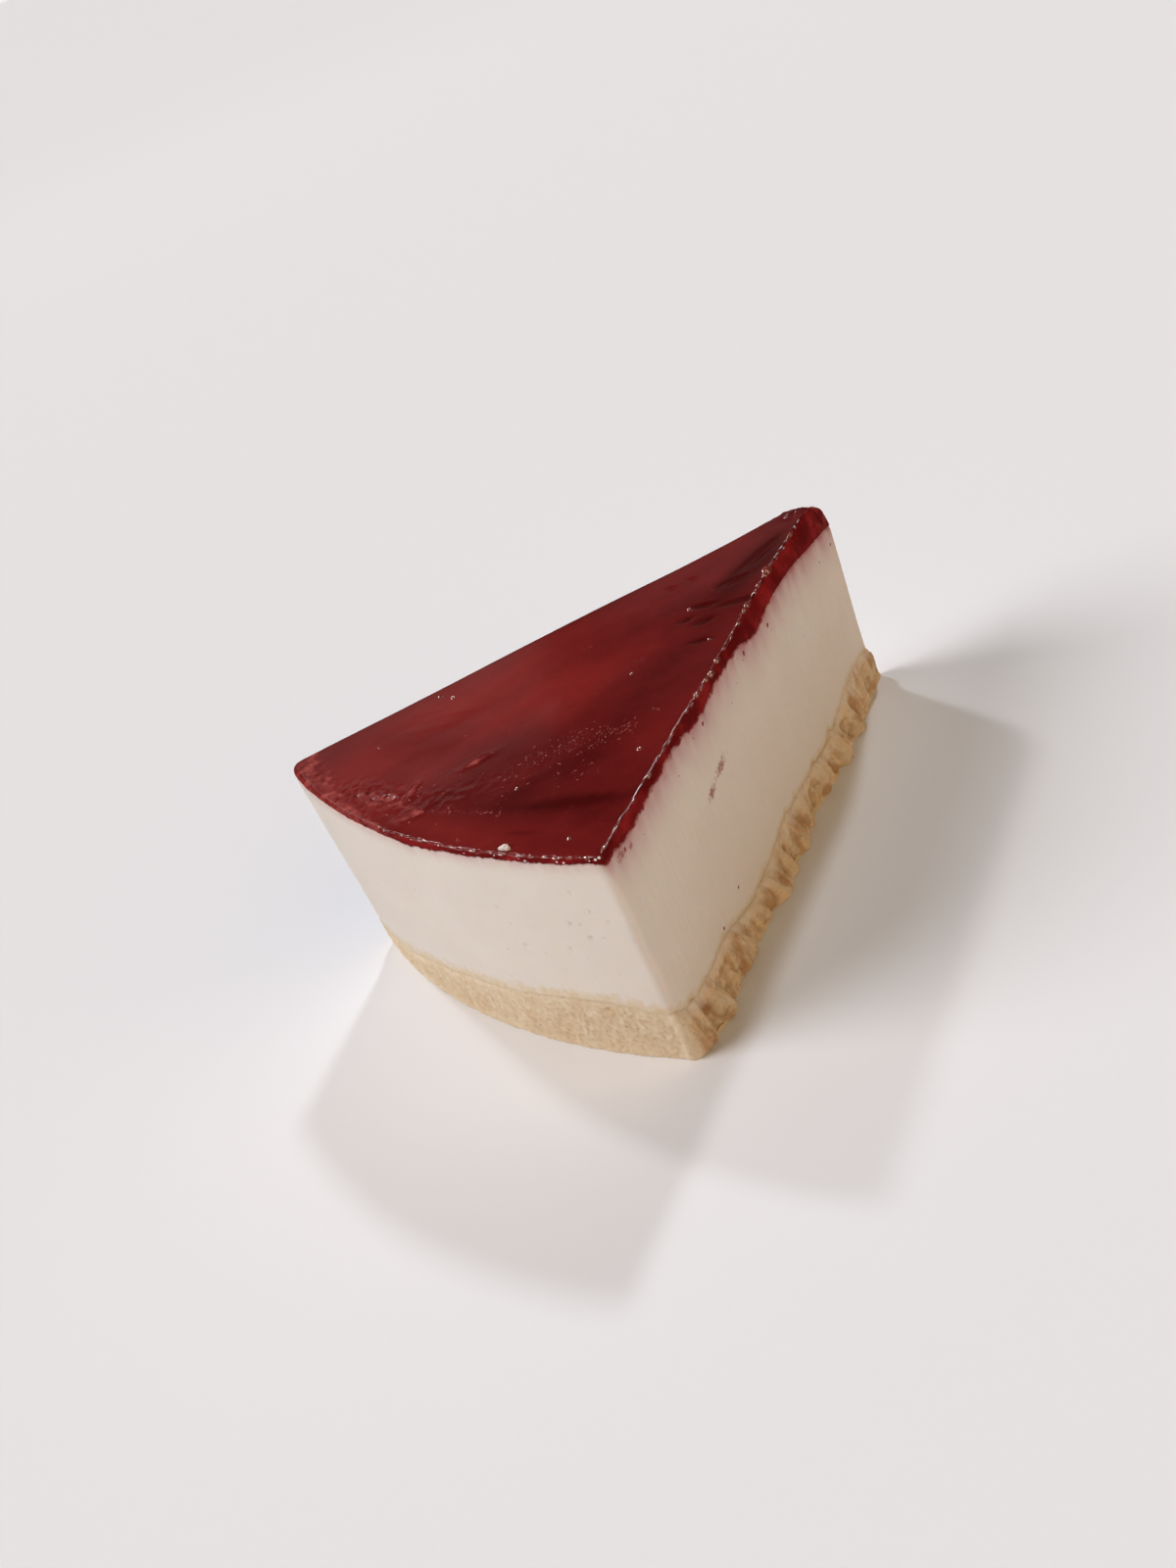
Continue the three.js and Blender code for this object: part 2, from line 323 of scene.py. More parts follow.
def noise_at(points: np.ndarray, size: float | Sequence[float], part: int, detail: int = 3) -> np.ndarray:
    """Reads soft random unevenness, from about -1 to 1, at each point.

    Args:
        points: Rows of coordinates.
        size: How large its swells are, in the points' units.
        part: The part of the endless noise that is read, so that no two uses are alike.
        detail: How many finer layers it has.

    Returns:
        A value for each point.
    """
    scaled = points / np.array(size) + NOISE_STEP * part
    return np.array([noise.fractal(Vector(row), 1.0, 2.0, detail) for row in scaled])


def crumbs_at(points: np.ndarray, size: float, part: int) -> tuple[np.ndarray, np.ndarray]:
    """Reads a pattern of close crumbs.

    Args:
        points: Rows of x, y and z.
        size: How large the crumbs are.
        part: The part of the endless pattern that is read.

    Returns:
        How far each point is from its crumb's middle, and from the gap between crumbs, with the
        crumbs' size as 1.
    """
    scaled = points / size + NOISE_STEP * part
    nearest = np.array([noise.voronoi(Vector(row))[0][:2] for row in scaled])
    return nearest[:, 0], nearest[:, 1] - nearest[:, 0]


def joined_copies(
    name: str, pattern: bpy.types.Object, placements: Sequence[Matrix]
) -> bpy.types.Object:
    """Copies a small shape to many places, as one mesh.

    Args:
        name: The new piece's name.
        pattern: The shape, modelled round the origin. It is removed.
        placements: The turn, scale and place of each copy.

    Returns:
        The new piece.
    """
    corners = vertices_of(pattern)
    faces = np.array([face.vertices[:] for face in pattern.data.polygons])
    points, rings = [], []
    for i, placement in enumerate(placements):
        matrix = np.array(placement)
        points.append(corners @ matrix[:3, :3].T + matrix[:3, 3])
        rings.append(faces + i * len(corners))
    mesh = bpy.data.meshes.new(name)
    mesh.from_pydata(np.vstack(points).tolist(), [], np.vstack(rings).tolist())
    mesh.shade_smooth()
    piece = bpy.data.objects.new(name, mesh)
    bpy.context.collection.objects.link(piece)
    bpy.data.objects.remove(pattern)
    return piece


def rarely_large(draw: np.random.Generator, sizes: tuple[float, float], rarity: float) -> float:
    """Draws a size, where large ones are rarer than small ones.

    Args:
        draw: The source of chance.
        sizes: The smallest and the largest.
        rarity: 1 where all sizes are as common, and more where large ones are rarer.

    Returns:
        The size.
    """
    small, large = sizes
    return small + (large - small) * draw.random() ** rarity


def lump_pattern(unevenness: float, splits: int, part: int) -> bpy.types.Object:
    """Models an uneven ball of radius 1 to copy.

    Args:
        unevenness: How far its surface wanders in and out, as a share of its radius.
        splits: How often its faces are split.
        part: The part of the noise that shapes it.

    Returns:
        The ball, at the origin.
    """
    deselect_all()
    bpy.ops.mesh.primitive_ico_sphere_add(subdivisions=splits, radius=1)
    ball = bpy.context.object
    points = vertices_of(ball)
    move_vertices(ball, points * (1 + unevenness * noise_at(points, 0.8, part))[:, None])
    return ball


def seated(place: Vector, up: Vector, along: Vector, size: Sequence[float]) -> Matrix:
    """Places a copy on a surface.

    Args:
        place: The middle of the copy.
        up: The surface's outward direction.
        along: Roughly the direction of the copy's length, on the surface.
        size: The copy's radii along its length, across it and up.

    Returns:
        The placement.
    """
    side = up.cross(along).normalized()
    length = side.cross(up).normalized()
    turn = Matrix((length, side, up.normalized())).transposed().to_4x4()
    return Matrix.Translation(place) @ turn @ Matrix.Diagonal((*size, 1))


# The shape of the slice


class Cut(Enum):
    """The cuts of the slice, by the side of its middle line that each is on."""

    SHOWN = 1
    HIDDEN = -1


@dataclass(frozen=True)
class SliceForm:
    """Where the sides of the slice are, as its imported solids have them."""

    half_angle: float = math.radians(21.1)
    centre_x: float = -0.45 * MM
    centre_y: float = 57.9 * MM
    rim_radius_low: float = 114.2 * MM
    rim_radius_high: float = 117.25 * MM
    height: float = 44.1 * MM

    def polar(self, points: np.ndarray) -> tuple[np.ndarray, np.ndarray]:
        """Reads each point's distance from the cake's centre and its angle from the slice's middle.

        Args:
            points: Rows of x, y and z.

        Returns:
            The distances, and the angles in radians, positive on the shown cut's side.
        """
        across = points[:, 0] - self.centre_x
        back = self.centre_y - points[:, 1]
        return np.hypot(across, back), np.arctan2(across, back)

    def turn_of(self, points: np.ndarray) -> np.ndarray:
        """Gives each point's degrees from the slice's middle, positive towards the shown cut."""
        return np.degrees(self.polar(points)[1])

    def rim_radius(self, height: float | np.ndarray) -> float | np.ndarray:
        """Gives the rim's distance from the cake's centre at a height, as the rim leans outwards."""
        lean = (self.rim_radius_high - self.rim_radius_low) / self.height
        return self.rim_radius_low + lean * height

    def under_rim(self, points: np.ndarray) -> np.ndarray:
        """Measures how far inside the rim each point is."""
        return self.rim_radius(points[:, 2]) - self.polar(points)[0]

    def under_cut(self, points: np.ndarray, cut: Cut) -> np.ndarray:
        """Measures how far inside the plane of a cut each point is."""
        out, turn = self.polar(points)
        return out * np.sin(self.half_angle - cut.value * turn)

    def under_cuts(self, points: np.ndarray) -> np.ndarray:
        """Measures how far inside the nearer cut each point is."""
        return np.minimum(self.under_cut(points, Cut.SHOWN), self.under_cut(points, Cut.HIDDEN))

    def place(self, out: float, turn: float, height: float) -> Vector:
        """Gives the point at a distance and an angle from the cake's centre, at a height."""
        across, back = out * math.sin(turn), out * math.cos(turn)
        return Vector((self.centre_x + across, self.centre_y - back, height))

    def on_cut(self, cut: Cut, along: float, height: float) -> Vector:
        """Gives the point of a cut at a distance from the cake's centre, at a height."""
        return self.place(along, cut.value * self.half_angle, height)

    def on_rim(self, degrees: float, height: float) -> Vector:
        """Gives the point of the rim at an angle in degrees, at a height."""
        return self.place(self.rim_radius(height), math.radians(degrees), height)

    def outward(self, cut: Cut) -> Vector:
        """Gives the direction that a cut faces."""
        return Vector((cut.value * math.cos(self.half_angle), math.sin(self.half_angle), 0))


@dataclass(frozen=True)
class Patch:
    """A long soft-edged spot, in millimetres and degrees.

    On the top, x and y are those of the slice. On a cut, x is the distance from the cake's centre
    and y is the height.
    """

    x: float
    y: float
    length: float
    width: float
    turn: float
    amount: float = 1.0

    def share(self, points: np.ndarray) -> np.ndarray:
        """Works out how much of the spot is at each point.

        Args:
            points: Rows that start with x and y, in metres.

        Returns:
            For each point 1 in the middle of the spot, falling to 0 past its edge.
        """
        angle = math.radians(self.turn)
        x, y = points[:, 0] / MM - self.x, points[:, 1] / MM - self.y
        along = (x * math.cos(angle) + y * math.sin(angle)) / (self.length / 2)
        across = (y * math.cos(angle) - x * math.sin(angle)) / (self.width / 2)
        return np.exp(-(along**2) - across**2)


# Finishes


@dataclass(frozen=True)
class CreamCheese:
    """Set cream cheese filling: smooth, dense and faintly translucent, with a satin surface."""

    cream: str = "#f0e9e2"
    shade: str = "#e9e1d7"
    stain: str = "#bd7c86"
    smear: str = "#86191b"
    fruit: str = "#9a4430"
    crumb: str = "#e0caa4"
    mottle: float = 9 * MM
    crumb_reach: float = 2.0 * MM
    streak: tuple[float, float, float] = (2.6 * MM, 2.6 * MM, 7 * MM)
    smear_edge: float = 1.8 * MM
    fruit_pulp: float = 0.55 * MM
    crumb_size: float = 1.3 * MM
    # Set cream is finer than this, and is drawn as coarse as its grain has to be to show.
    grain: float = 0.6 * MM
    grain_depth: float = 0.03 * MM
    wipe: tuple[float, float, float] = (1.1 * MM, 1.1 * MM, 14 * MM)
    wipe_depth: float = 0.06 * MM
    glow: float = 1.5 * MM

    def material(self) -> bpy.types.Material:
        """Builds the material. It reads from the mesh how near the jelly and the biscuit are.

        Returns:
            The material.
        """
        material, tree = empty_material("cream_cheese_filling")
        place = add_node(tree, "ShaderNodeTexCoord", out="Object")
        mottle = add_node(tree, NOISE, {"Scale": 1 / self.mottle, "Detail": 2.0, "Vector": place})
        cream = add_node(
            tree, MIX, {"data_type": "RGBA", 0: mottle, 6: linear(self.cream), 7: linear(self.shade)}, 2
        )
        # Jelly that the knife dragged down: a pink haze in streaks, and red right at its edge.
        drawn = add_node(
            tree, "ShaderNodeMapping", {"vector_type": "TEXTURE", "Vector": place, "Scale": self.streak}
        )
        streaks = add_node(tree, NOISE, {"Scale": 1.0, "Detail": 1.5, "Vector": drawn})
        streaked = add_node(
            tree, RANGE, {"From Min": 0.3, "From Max": 0.7, "To Min": 0.7, "To Max": 1.2, "Value": streaks}
        )
        haze = add_node(tree, MARK, {"attribute_name": "haze"}, "Fac")
        patchy_haze = add_node(tree, MATHS, {"operation": "MULTIPLY", 0: haze, 1: streaked})
        stained = add_node(
            tree, MIX, {"data_type": "RGBA", 0: patchy_haze, 6: cream, 7: linear(self.stain)}, 2
        )
        past_smear = add_node(tree, MARK, {"attribute_name": "past_smear"}, "Fac")
        ragged = add_node(tree, NOISE, {"Scale": 1 / self.smear_edge, "Detail": 3.0, "Vector": place})
        over_edge = add_node(tree, MATHS, {"operation": "MULTIPLY_ADD", 0: ragged, 1: -3.0, 2: past_smear})
        smeared = add_node(
            tree, RANGE,
            {"interpolation_type": "SMOOTHSTEP", "Value": over_edge, "From Min": -0.1, "From Max": -1.0},
        )
        smeared_cream = add_node(
            tree, MIX, {"data_type": "RGBA", 0: smeared, 6: stained, 7: linear(self.smear)}, 2
        )
        # Specks of fruit wiped across the cut, broken by fine noise.
        spots = add_node(tree, MARK, {"attribute_name": "spots"}, "Fac")
        broken = add_node(tree, NOISE, {"Scale": 1 / self.fruit_pulp, "Detail": 3.0, "Vector": place})
        spotty = add_node(tree, MATHS, {"operation": "MULTIPLY_ADD", 0: broken, 1: 1.8, 2: spots})
        spotted = add_node(tree, RANGE, {"From Min": 1.35, "From Max": 1.95, "To Max": 0.8, "Value": spotty})
        spotted_cream = add_node(
            tree, MIX, {"data_type": "RGBA", 0: spotted, 6: smeared_cream, 7: linear(self.fruit)}, 2
        )
        # Biscuit crumbs that the filling took up where it lies on the base.
        from_base = add_node(tree, MARK, {"attribute_name": "from_base"}, "Fac")
        crumb_noise = add_node(tree, NOISE, {"Scale": 1 / self.crumb_size, "Detail": 3.0, "Vector": place})
        over_base = add_node(
            tree, MATHS,
            {"operation": "MULTIPLY_ADD", 0: crumb_noise, 1: -2 * self.crumb_reach, 2: from_base},
        )
        crumbs = add_node(
            tree, RANGE,
            {"From Min": 0.1 * self.crumb_reach, "From Max": -1.1 * self.crumb_reach, "Value": over_base},
        )
        coloured = add_node(
            tree, MIX, {"data_type": "RGBA", 0: crumbs, 6: spotted_cream, 7: linear(self.crumb)}, 2
        )
        grain = add_node(tree, NOISE, {"Scale": 1 / self.grain, "Detail": 3.0, "Vector": place})
        grainy = add_node(tree, BUMP, {"Distance": self.grain_depth, "Height": grain})
        wiped = add_node(
            tree, "ShaderNodeMapping", {"vector_type": "TEXTURE", "Vector": place, "Scale": self.wipe}
        )
        wipes = add_node(tree, NOISE, {"Scale": 1.0, "Detail": 2.0, "Vector": wiped})
        cut = add_node(tree, MARK, {"attribute_name": "cut"}, "Fac")
        relief = add_node(
            tree, BUMP, {"Strength": cut, "Distance": self.wipe_depth, "Height": wipes, "Normal": grainy}
        )
        surface = add_node(
            tree, SURFACE,
            {
                "Base Color": coloured, "Normal": relief, "Roughness": 0.46, "IOR": 1.42,
                "Specular IOR Level": 0.4, "Subsurface Weight": 0.35,
                "Subsurface Radius": (1.0, 0.62, 0.4), "Subsurface Scale": self.glow,
            },
        )
        add_node(tree, "ShaderNodeOutputMaterial", {"Surface": surface})
        return material


@dataclass(frozen=True)
class BiscuitCrumb:
    """Crushed biscuit bound with butter and pressed: dry, sandy and crumbly where it is torn."""

    sand: str = "#dbc3a0"
    pale: str = "#e9d9be"
    cream: str = "#f0e5d6"
    toast: str = "#f1d3ad"
    brown: str = "#b98a5c"
    fleck: str = "#a98458"
    # The colour of the painted shade in the hollows.
    painted_hollow_shade: str = "#9f7449"
    patch: float = 5 * MM
    crumb: float = 1.1 * MM
    toast_patch: float = 2.4 * MM
    brown_patch: tuple[float, float, float] = (3.4 * MM, 3.4 * MM, 7 * MM)
    fleck_size: float = 0.8 * MM
    # Crushed biscuit is as fine as sand, and is drawn as coarse as its grain has to be to show.
    grain: float = 0.5 * MM
    grain_depth: float = 0.16 * MM
    cream_reach: float = 2.6 * MM

    def material(self) -> bpy.types.Material:
        """Builds the material. It reads from the mesh where the surface is torn, and how deep its hollows
        are, which it darkens as painted shade.

        Returns:
            The material.
        """
        material, tree = empty_material("pressed_biscuit_crumb")
        place = add_node(tree, "ShaderNodeTexCoord", out="Object")
        patches = add_node(tree, NOISE, {"Scale": 1 / self.patch, "Detail": 3.0, "Vector": place})
        crumbs = add_node(tree, CELLS, {"Scale": 1 / self.crumb, "Randomness": 1.0, "Vector": place}, "Color")
        mottled = add_node(tree, MATHS, {"operation": "MULTIPLY_ADD", 0: crumbs, 1: 0.45, 2: patches})
        mottle = add_node(tree, RANGE, {"From Min": 0.45, "From Max": 1.0, "Value": mottled})
        ground = add_node(
            tree, MIX, {"data_type": "RGBA", 0: mottle, 6: linear(self.sand), 7: linear(self.pale)}, 2
        )
        toasting = add_node(tree, NOISE, {"Scale": 1 / self.toast_patch, "Detail": 4.0, "Vector": place})
        toasted = add_node(tree, RANGE, {"From Min": 0.38, "From Max": 0.72, "Value": toasting})
        torn = add_node(tree, MARK, {"attribute_name": "torn"}, "Fac")
        browned = add_node(tree, MATHS, {"operation": "MULTIPLY", 0: toasted, 1: torn})
        toasty = add_node(
            tree, MIX, {"data_type": "RGBA", 0: browned, 6: ground, 7: linear(self.toast)}, 2
        )
        drawn = add_node(
            tree, "ShaderNodeMapping", {"vector_type": "TEXTURE", "Vector": place, "Scale": self.brown_patch}
        )
        darkening = add_node(tree, NOISE, {"Scale": 1.0, "Detail": 3.0, "Vector": drawn})
        darkened = add_node(
            tree, RANGE,
            {
                "interpolation_type": "SMOOTHSTEP", "From Min": 0.44, "From Max": 0.64, "To Max": 0.75,
                "Value": darkening,
            },
        )
        dark_torn = add_node(tree, MATHS, {"operation": "MULTIPLY", 0: darkened, 1: torn})
        baked = add_node(
            tree, MIX, {"data_type": "RGBA", 0: dark_torn, 6: toasty, 7: linear(self.brown)}, 2
        )
        # Painted shade: darker the deeper the surface lies in a hollow.
        painted_hollow_shade = add_node(tree, MARK, {"attribute_name": "painted_hollow_shade"}, "Fac")
        shade_in_hollows = add_node(tree, RANGE, {"From Min": -0.2, "From Max": 1.5, "Value": painted_hollow_shade})
        shaded = add_node(
            tree, MIX, {"data_type": "RGBA", 0: shade_in_hollows, 6: baked, 7: linear(self.painted_hollow_shade)}, 2
        )
        # A trace of filling on the crumbs next to it.
        from_cream = add_node(tree, MARK, {"attribute_name": "from_cream"}, "Fac")
        near_cream = add_node(
            tree, MATHS,
            {"operation": "MULTIPLY_ADD", 0: toasting, 1: 2 * self.cream_reach, 2: from_cream},
        )
        most_cream = add_node(tree, RANGE, {"To Min": 0.3, "Value": torn})
        creamed = add_node(
            tree, RANGE,
            {
                "From Min": 2.1 * self.cream_reach, "From Max": 0.8 * self.cream_reach,
                "To Max": most_cream, "Value": near_cream,
            },
        )
        covered = add_node(
            tree, MIX, {"data_type": "RGBA", 0: creamed, 6: shaded, 7: linear(self.cream)}, 2
        )
        # Sparse crumbs of darker biscuit.
        sparse = add_node(tree, NOISE, {"Scale": 1 / self.fleck_size, "Detail": 1.0, "Vector": place})
        flecked = add_node(tree, RANGE, {"From Min": 0.69, "From Max": 0.76, "To Max": 0.5, "Value": sparse})
        coloured = add_node(
            tree, MIX, {"data_type": "RGBA", 0: flecked, 6: covered, 7: linear(self.fleck)}, 2
        )
        grain = add_node(
            tree, NOISE, {"Scale": 1 / self.grain, "Detail": 4.0, "Roughness": 0.65, "Vector": place}
        )
        coarseness = add_node(tree, RANGE, {"To Min": 0.45, "Value": torn})
        relief = add_node(tree, BUMP, {"Strength": coarseness, "Distance": self.grain_depth, "Height": grain})
        surface = add_node(
            tree, SURFACE,
            {
                "Base Color": coloured, "Normal": relief, "Roughness": 0.85, "IOR": 1.45,
                "Specular IOR Level": 0.3,
            },
        )
        add_node(tree, "ShaderNodeOutputMaterial", {"Surface": surface})
        return material


@dataclass(frozen=True)
class RaspberryGel:
    """Set raspberry jelly: deep clear red with a wet shine, and dull and pinker where torn."""

    deep: str = "#480808"
    bright: str = "#872524"
    dragged: str = "#6a1010"
    dragged_light: str = "#9a2325"
    torn: str = "#741818"
    torn_light: str = "#ab4a45"
    cloud: tuple[float, float, float] = (24 * MM, 9 * MM, 9 * MM)
    cloud_turn: float = math.radians(75)
    wisp: float = 3.5 * MM
    lump: float = 5 * MM
    fleck: float = 2.0 * MM
    ripple: float = 2.6 * MM
    ripple_depth: float = 0.012 * MM
    tear: float = 0.9 * MM
    tear_depth: float = 0.10 * MM
    shine: float = 0.17
    dullness: float = 0.45
    bend: float = 1.37
    specular: float = 0.22
    glow: float = 1.0 * MM

    def material(self) -> bpy.types.Material:
        """Builds the material. It reads from the mesh where the jelly is torn, cut or lighter, and where it
        has painted shade.

        Returns:
            The material.
        """
        material, tree = empty_material("raspberry_jelly_gel")
        place = add_node(tree, "ShaderNodeTexCoord", out="Object")
        drawn = add_node(
            tree, "ShaderNodeMapping",
            {
                "vector_type": "TEXTURE", "Vector": place, "Rotation": (0, 0, self.cloud_turn),
                "Scale": self.cloud,
            },
        )
        clouds = add_node(tree, NOISE, {"Scale": 1.0, "Detail": 3.0, "Vector": drawn})
        wisps = add_node(tree, NOISE, {"Scale": 1 / self.wisp, "Detail": 4.0, "Vector": place})
        # The tone carries painted shade along the hidden edge and in the dents near the tip.
        tone_with_painted_shade = add_node(tree, MARK, {"attribute_name": "tone_with_painted_shade"}, "Fac")
        cloudy = add_node(tree, MATHS, {"operation": "MULTIPLY_ADD", 0: clouds, 1: 0.65, 2: tone_with_painted_shade})
        wispy = add_node(tree, MATHS, {"operation": "MULTIPLY_ADD", 0: wisps, 1: 0.3, 2: cloudy})
        clearness = add_node(tree, RANGE, {"From Min": 0.0, "From Max": 1.0, "Value": wispy})
        body = add_node(
            tree, MIX, {"data_type": "RGBA", 0: clearness, 6: linear(self.deep), 7: linear(self.bright)}, 2
        )
        flecks = add_node(tree, NOISE, {"Scale": 1 / self.fleck, "Detail": 4.0, "Vector": place})
        flecked = add_node(tree, RANGE, {"From Min": 0.4, "From Max": 0.66, "Value": flecks})
        # The cut face, wiped by the knife: as red as the top, in lighter and darker lumps.
        lumps = add_node(tree, NOISE, {"Scale": 1 / self.lump, "Detail": 5.0, "Vector": place})
        lumpy = add_node(tree, RANGE, {"From Min": 0.42, "From Max": 0.68, "Value": lumps})
        wiped_colour = add_node(
            tree, MIX,
            {"data_type": "RGBA", 0: lumpy, 6: linear(self.dragged), 7: linear(self.dragged_light)}, 2,
        )
        cut = add_node(tree, MARK, {"attribute_name": "cut"}, "Fac")
        wiped = add_node(tree, MIX, {"data_type": "RGBA", 0: cut, 6: body, 7: wiped_colour}, 2)
        # Where the jelly tore, light scatters in it: dull, pinker and grainy.
        torn_colour = add_node(
            tree, MIX, {"data_type": "RGBA", 0: flecked, 6: linear(self.torn), 7: linear(self.torn_light)}, 2
        )
        torn = add_node(tree, MARK, {"attribute_name": "torn"}, "Fac")
        frayed = add_node(tree, MATHS, {"operation": "MULTIPLY_ADD", 0: flecks, 1: 1.2, 2: torn})
        tearing = add_node(
            tree, RANGE,
            {"interpolation_type": "SMOOTHSTEP", "From Min": 0.75, "From Max": 1.35, "Value": frayed},
        )
        coloured = add_node(tree, MIX, {"data_type": "RGBA", 0: tearing, 6: wiped, 7: torn_colour}, 2)
        dull = add_node(tree, MATHS, {"operation": "MULTIPLY_ADD", 0: cut, 1: 0.25, 2: tearing})
        roughness = add_node(tree, RANGE, {"To Min": self.shine, "To Max": self.dullness, "Value": dull})
        ripples = add_node(tree, NOISE, {"Scale": 1 / self.ripple, "Detail": 2.0, "Vector": place})
        wet = add_node(tree, BUMP, {"Distance": self.ripple_depth, "Height": ripples})
        tears = add_node(tree, NOISE, {"Scale": 1 / self.tear, "Detail": 3.0, "Vector": place})
        edge = add_node(tree, MARK, {"attribute_name": "edge"}, "Fac")
        uneven = add_node(tree, MATHS, {"operation": "ADD", 0: edge, 1: tearing})
        relief = add_node(
            tree, BUMP, {"Strength": uneven, "Distance": self.tear_depth, "Height": tears, "Normal": wet}
        )
        surface = add_node(
            tree, SURFACE,
            {
                "Base Color": coloured, "Roughness": roughness, "Normal": relief, "IOR": self.bend,
                "Specular IOR Level": self.specular, "Subsurface Weight": 0.12,
                "Subsurface Radius": (1.0, 0.12, 0.1), "Subsurface Scale": self.glow,
            },
        )
        add_node(tree, "ShaderNodeOutputMaterial", {"Surface": surface})
        return material


@dataclass(frozen=True)
class PlainFinish:
    """A finish of one colour, such as matt floor paint or a speck of fruit."""

    name: str
    colour: str
    roughness: float
    specular: float = 0.3

    def material(self) -> bpy.types.Material:
        """Builds the material.

        Returns:
            The material.
        """
        material, tree = empty_material(self.name)
        surface = add_node(
            tree, SURFACE,
            {
                "Base Color": linear(self.colour), "Roughness": self.roughness,
                "Specular IOR Level": self.specular,
            },
        )
        add_node(tree, "ShaderNodeOutputMaterial", {"Surface": surface})
        return material


# The layers of the slice


@dataclass
class Layer:
    """A layer of the slice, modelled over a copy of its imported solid."""

    form: SliceForm
    node: str
    slot: str
    name: str
    facet: float
    hidden_share: float = 0.04
    hidden_depth: float = 4.5 * MM
    merge_distance: float = 0.001 * MM

    def copy_of_solid(self) -> bpy.types.Object:
        """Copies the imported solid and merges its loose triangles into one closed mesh.

        Returns:
            The copy.
        """
        solid = bpy.data.objects[self.node]
        piece = bpy.data.objects.new(self.name, solid.data.copy())
        piece.data.name = self.name
        piece.data.materials.clear()
        bpy.context.collection.objects.link(piece)
        with edit_mode(piece):
            bpy.ops.mesh.select_all(action="SELECT")
            bpy.ops.mesh.remove_doubles(threshold=self.merge_distance)
        return piece

    def refine(self, piece: bpy.types.Object, passes: int) -> None:
        """Remeshes a piece with small even faces, and smooths what the new faces roughen.

        Args:
            piece: The closed mesh, or several that overlap and become one.
            passes: How often it is smoothed.
        """
        apply_modifier(piece, "REMESH", mode="VOXEL", voxel_size=self.facet, use_smooth_shade=True)
        apply_modifier(piece, "SMOOTH", factor=0.5, iterations=passes)

    def thin_hidden_faces(self, piece: bpy.types.Object, up: int) -> None:
        """Merges most of the small faces on a side that lies flat against something.

        Args:
            piece: The remeshed piece.
            up: 1 for its upper side, or -1 for its lower side.
        """
        middles, normals = faces_of(piece)
        inside = np.minimum(self.form.under_cuts(middles), self.form.under_rim(middles))
        with edit_mode(piece):
            select_faces(piece, (up * normals[:, 2] > LYING_FLAT) & (inside > self.hidden_depth))
            bpy.ops.mesh.decimate(ratio=self.hidden_share)

    def hand_over(self, piece: bpy.types.Object, material: bpy.types.Material) -> None:
        """Dresses a finished piece and lets it stand for its solid.

        Args:
            piece: The piece.
            material: Its finish.
        """
        piece.data.materials.append(material)
        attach(piece, BODY)
        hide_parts(self.node)
        log.info("%s: %d faces", piece.name, len(piece.data.polygons))


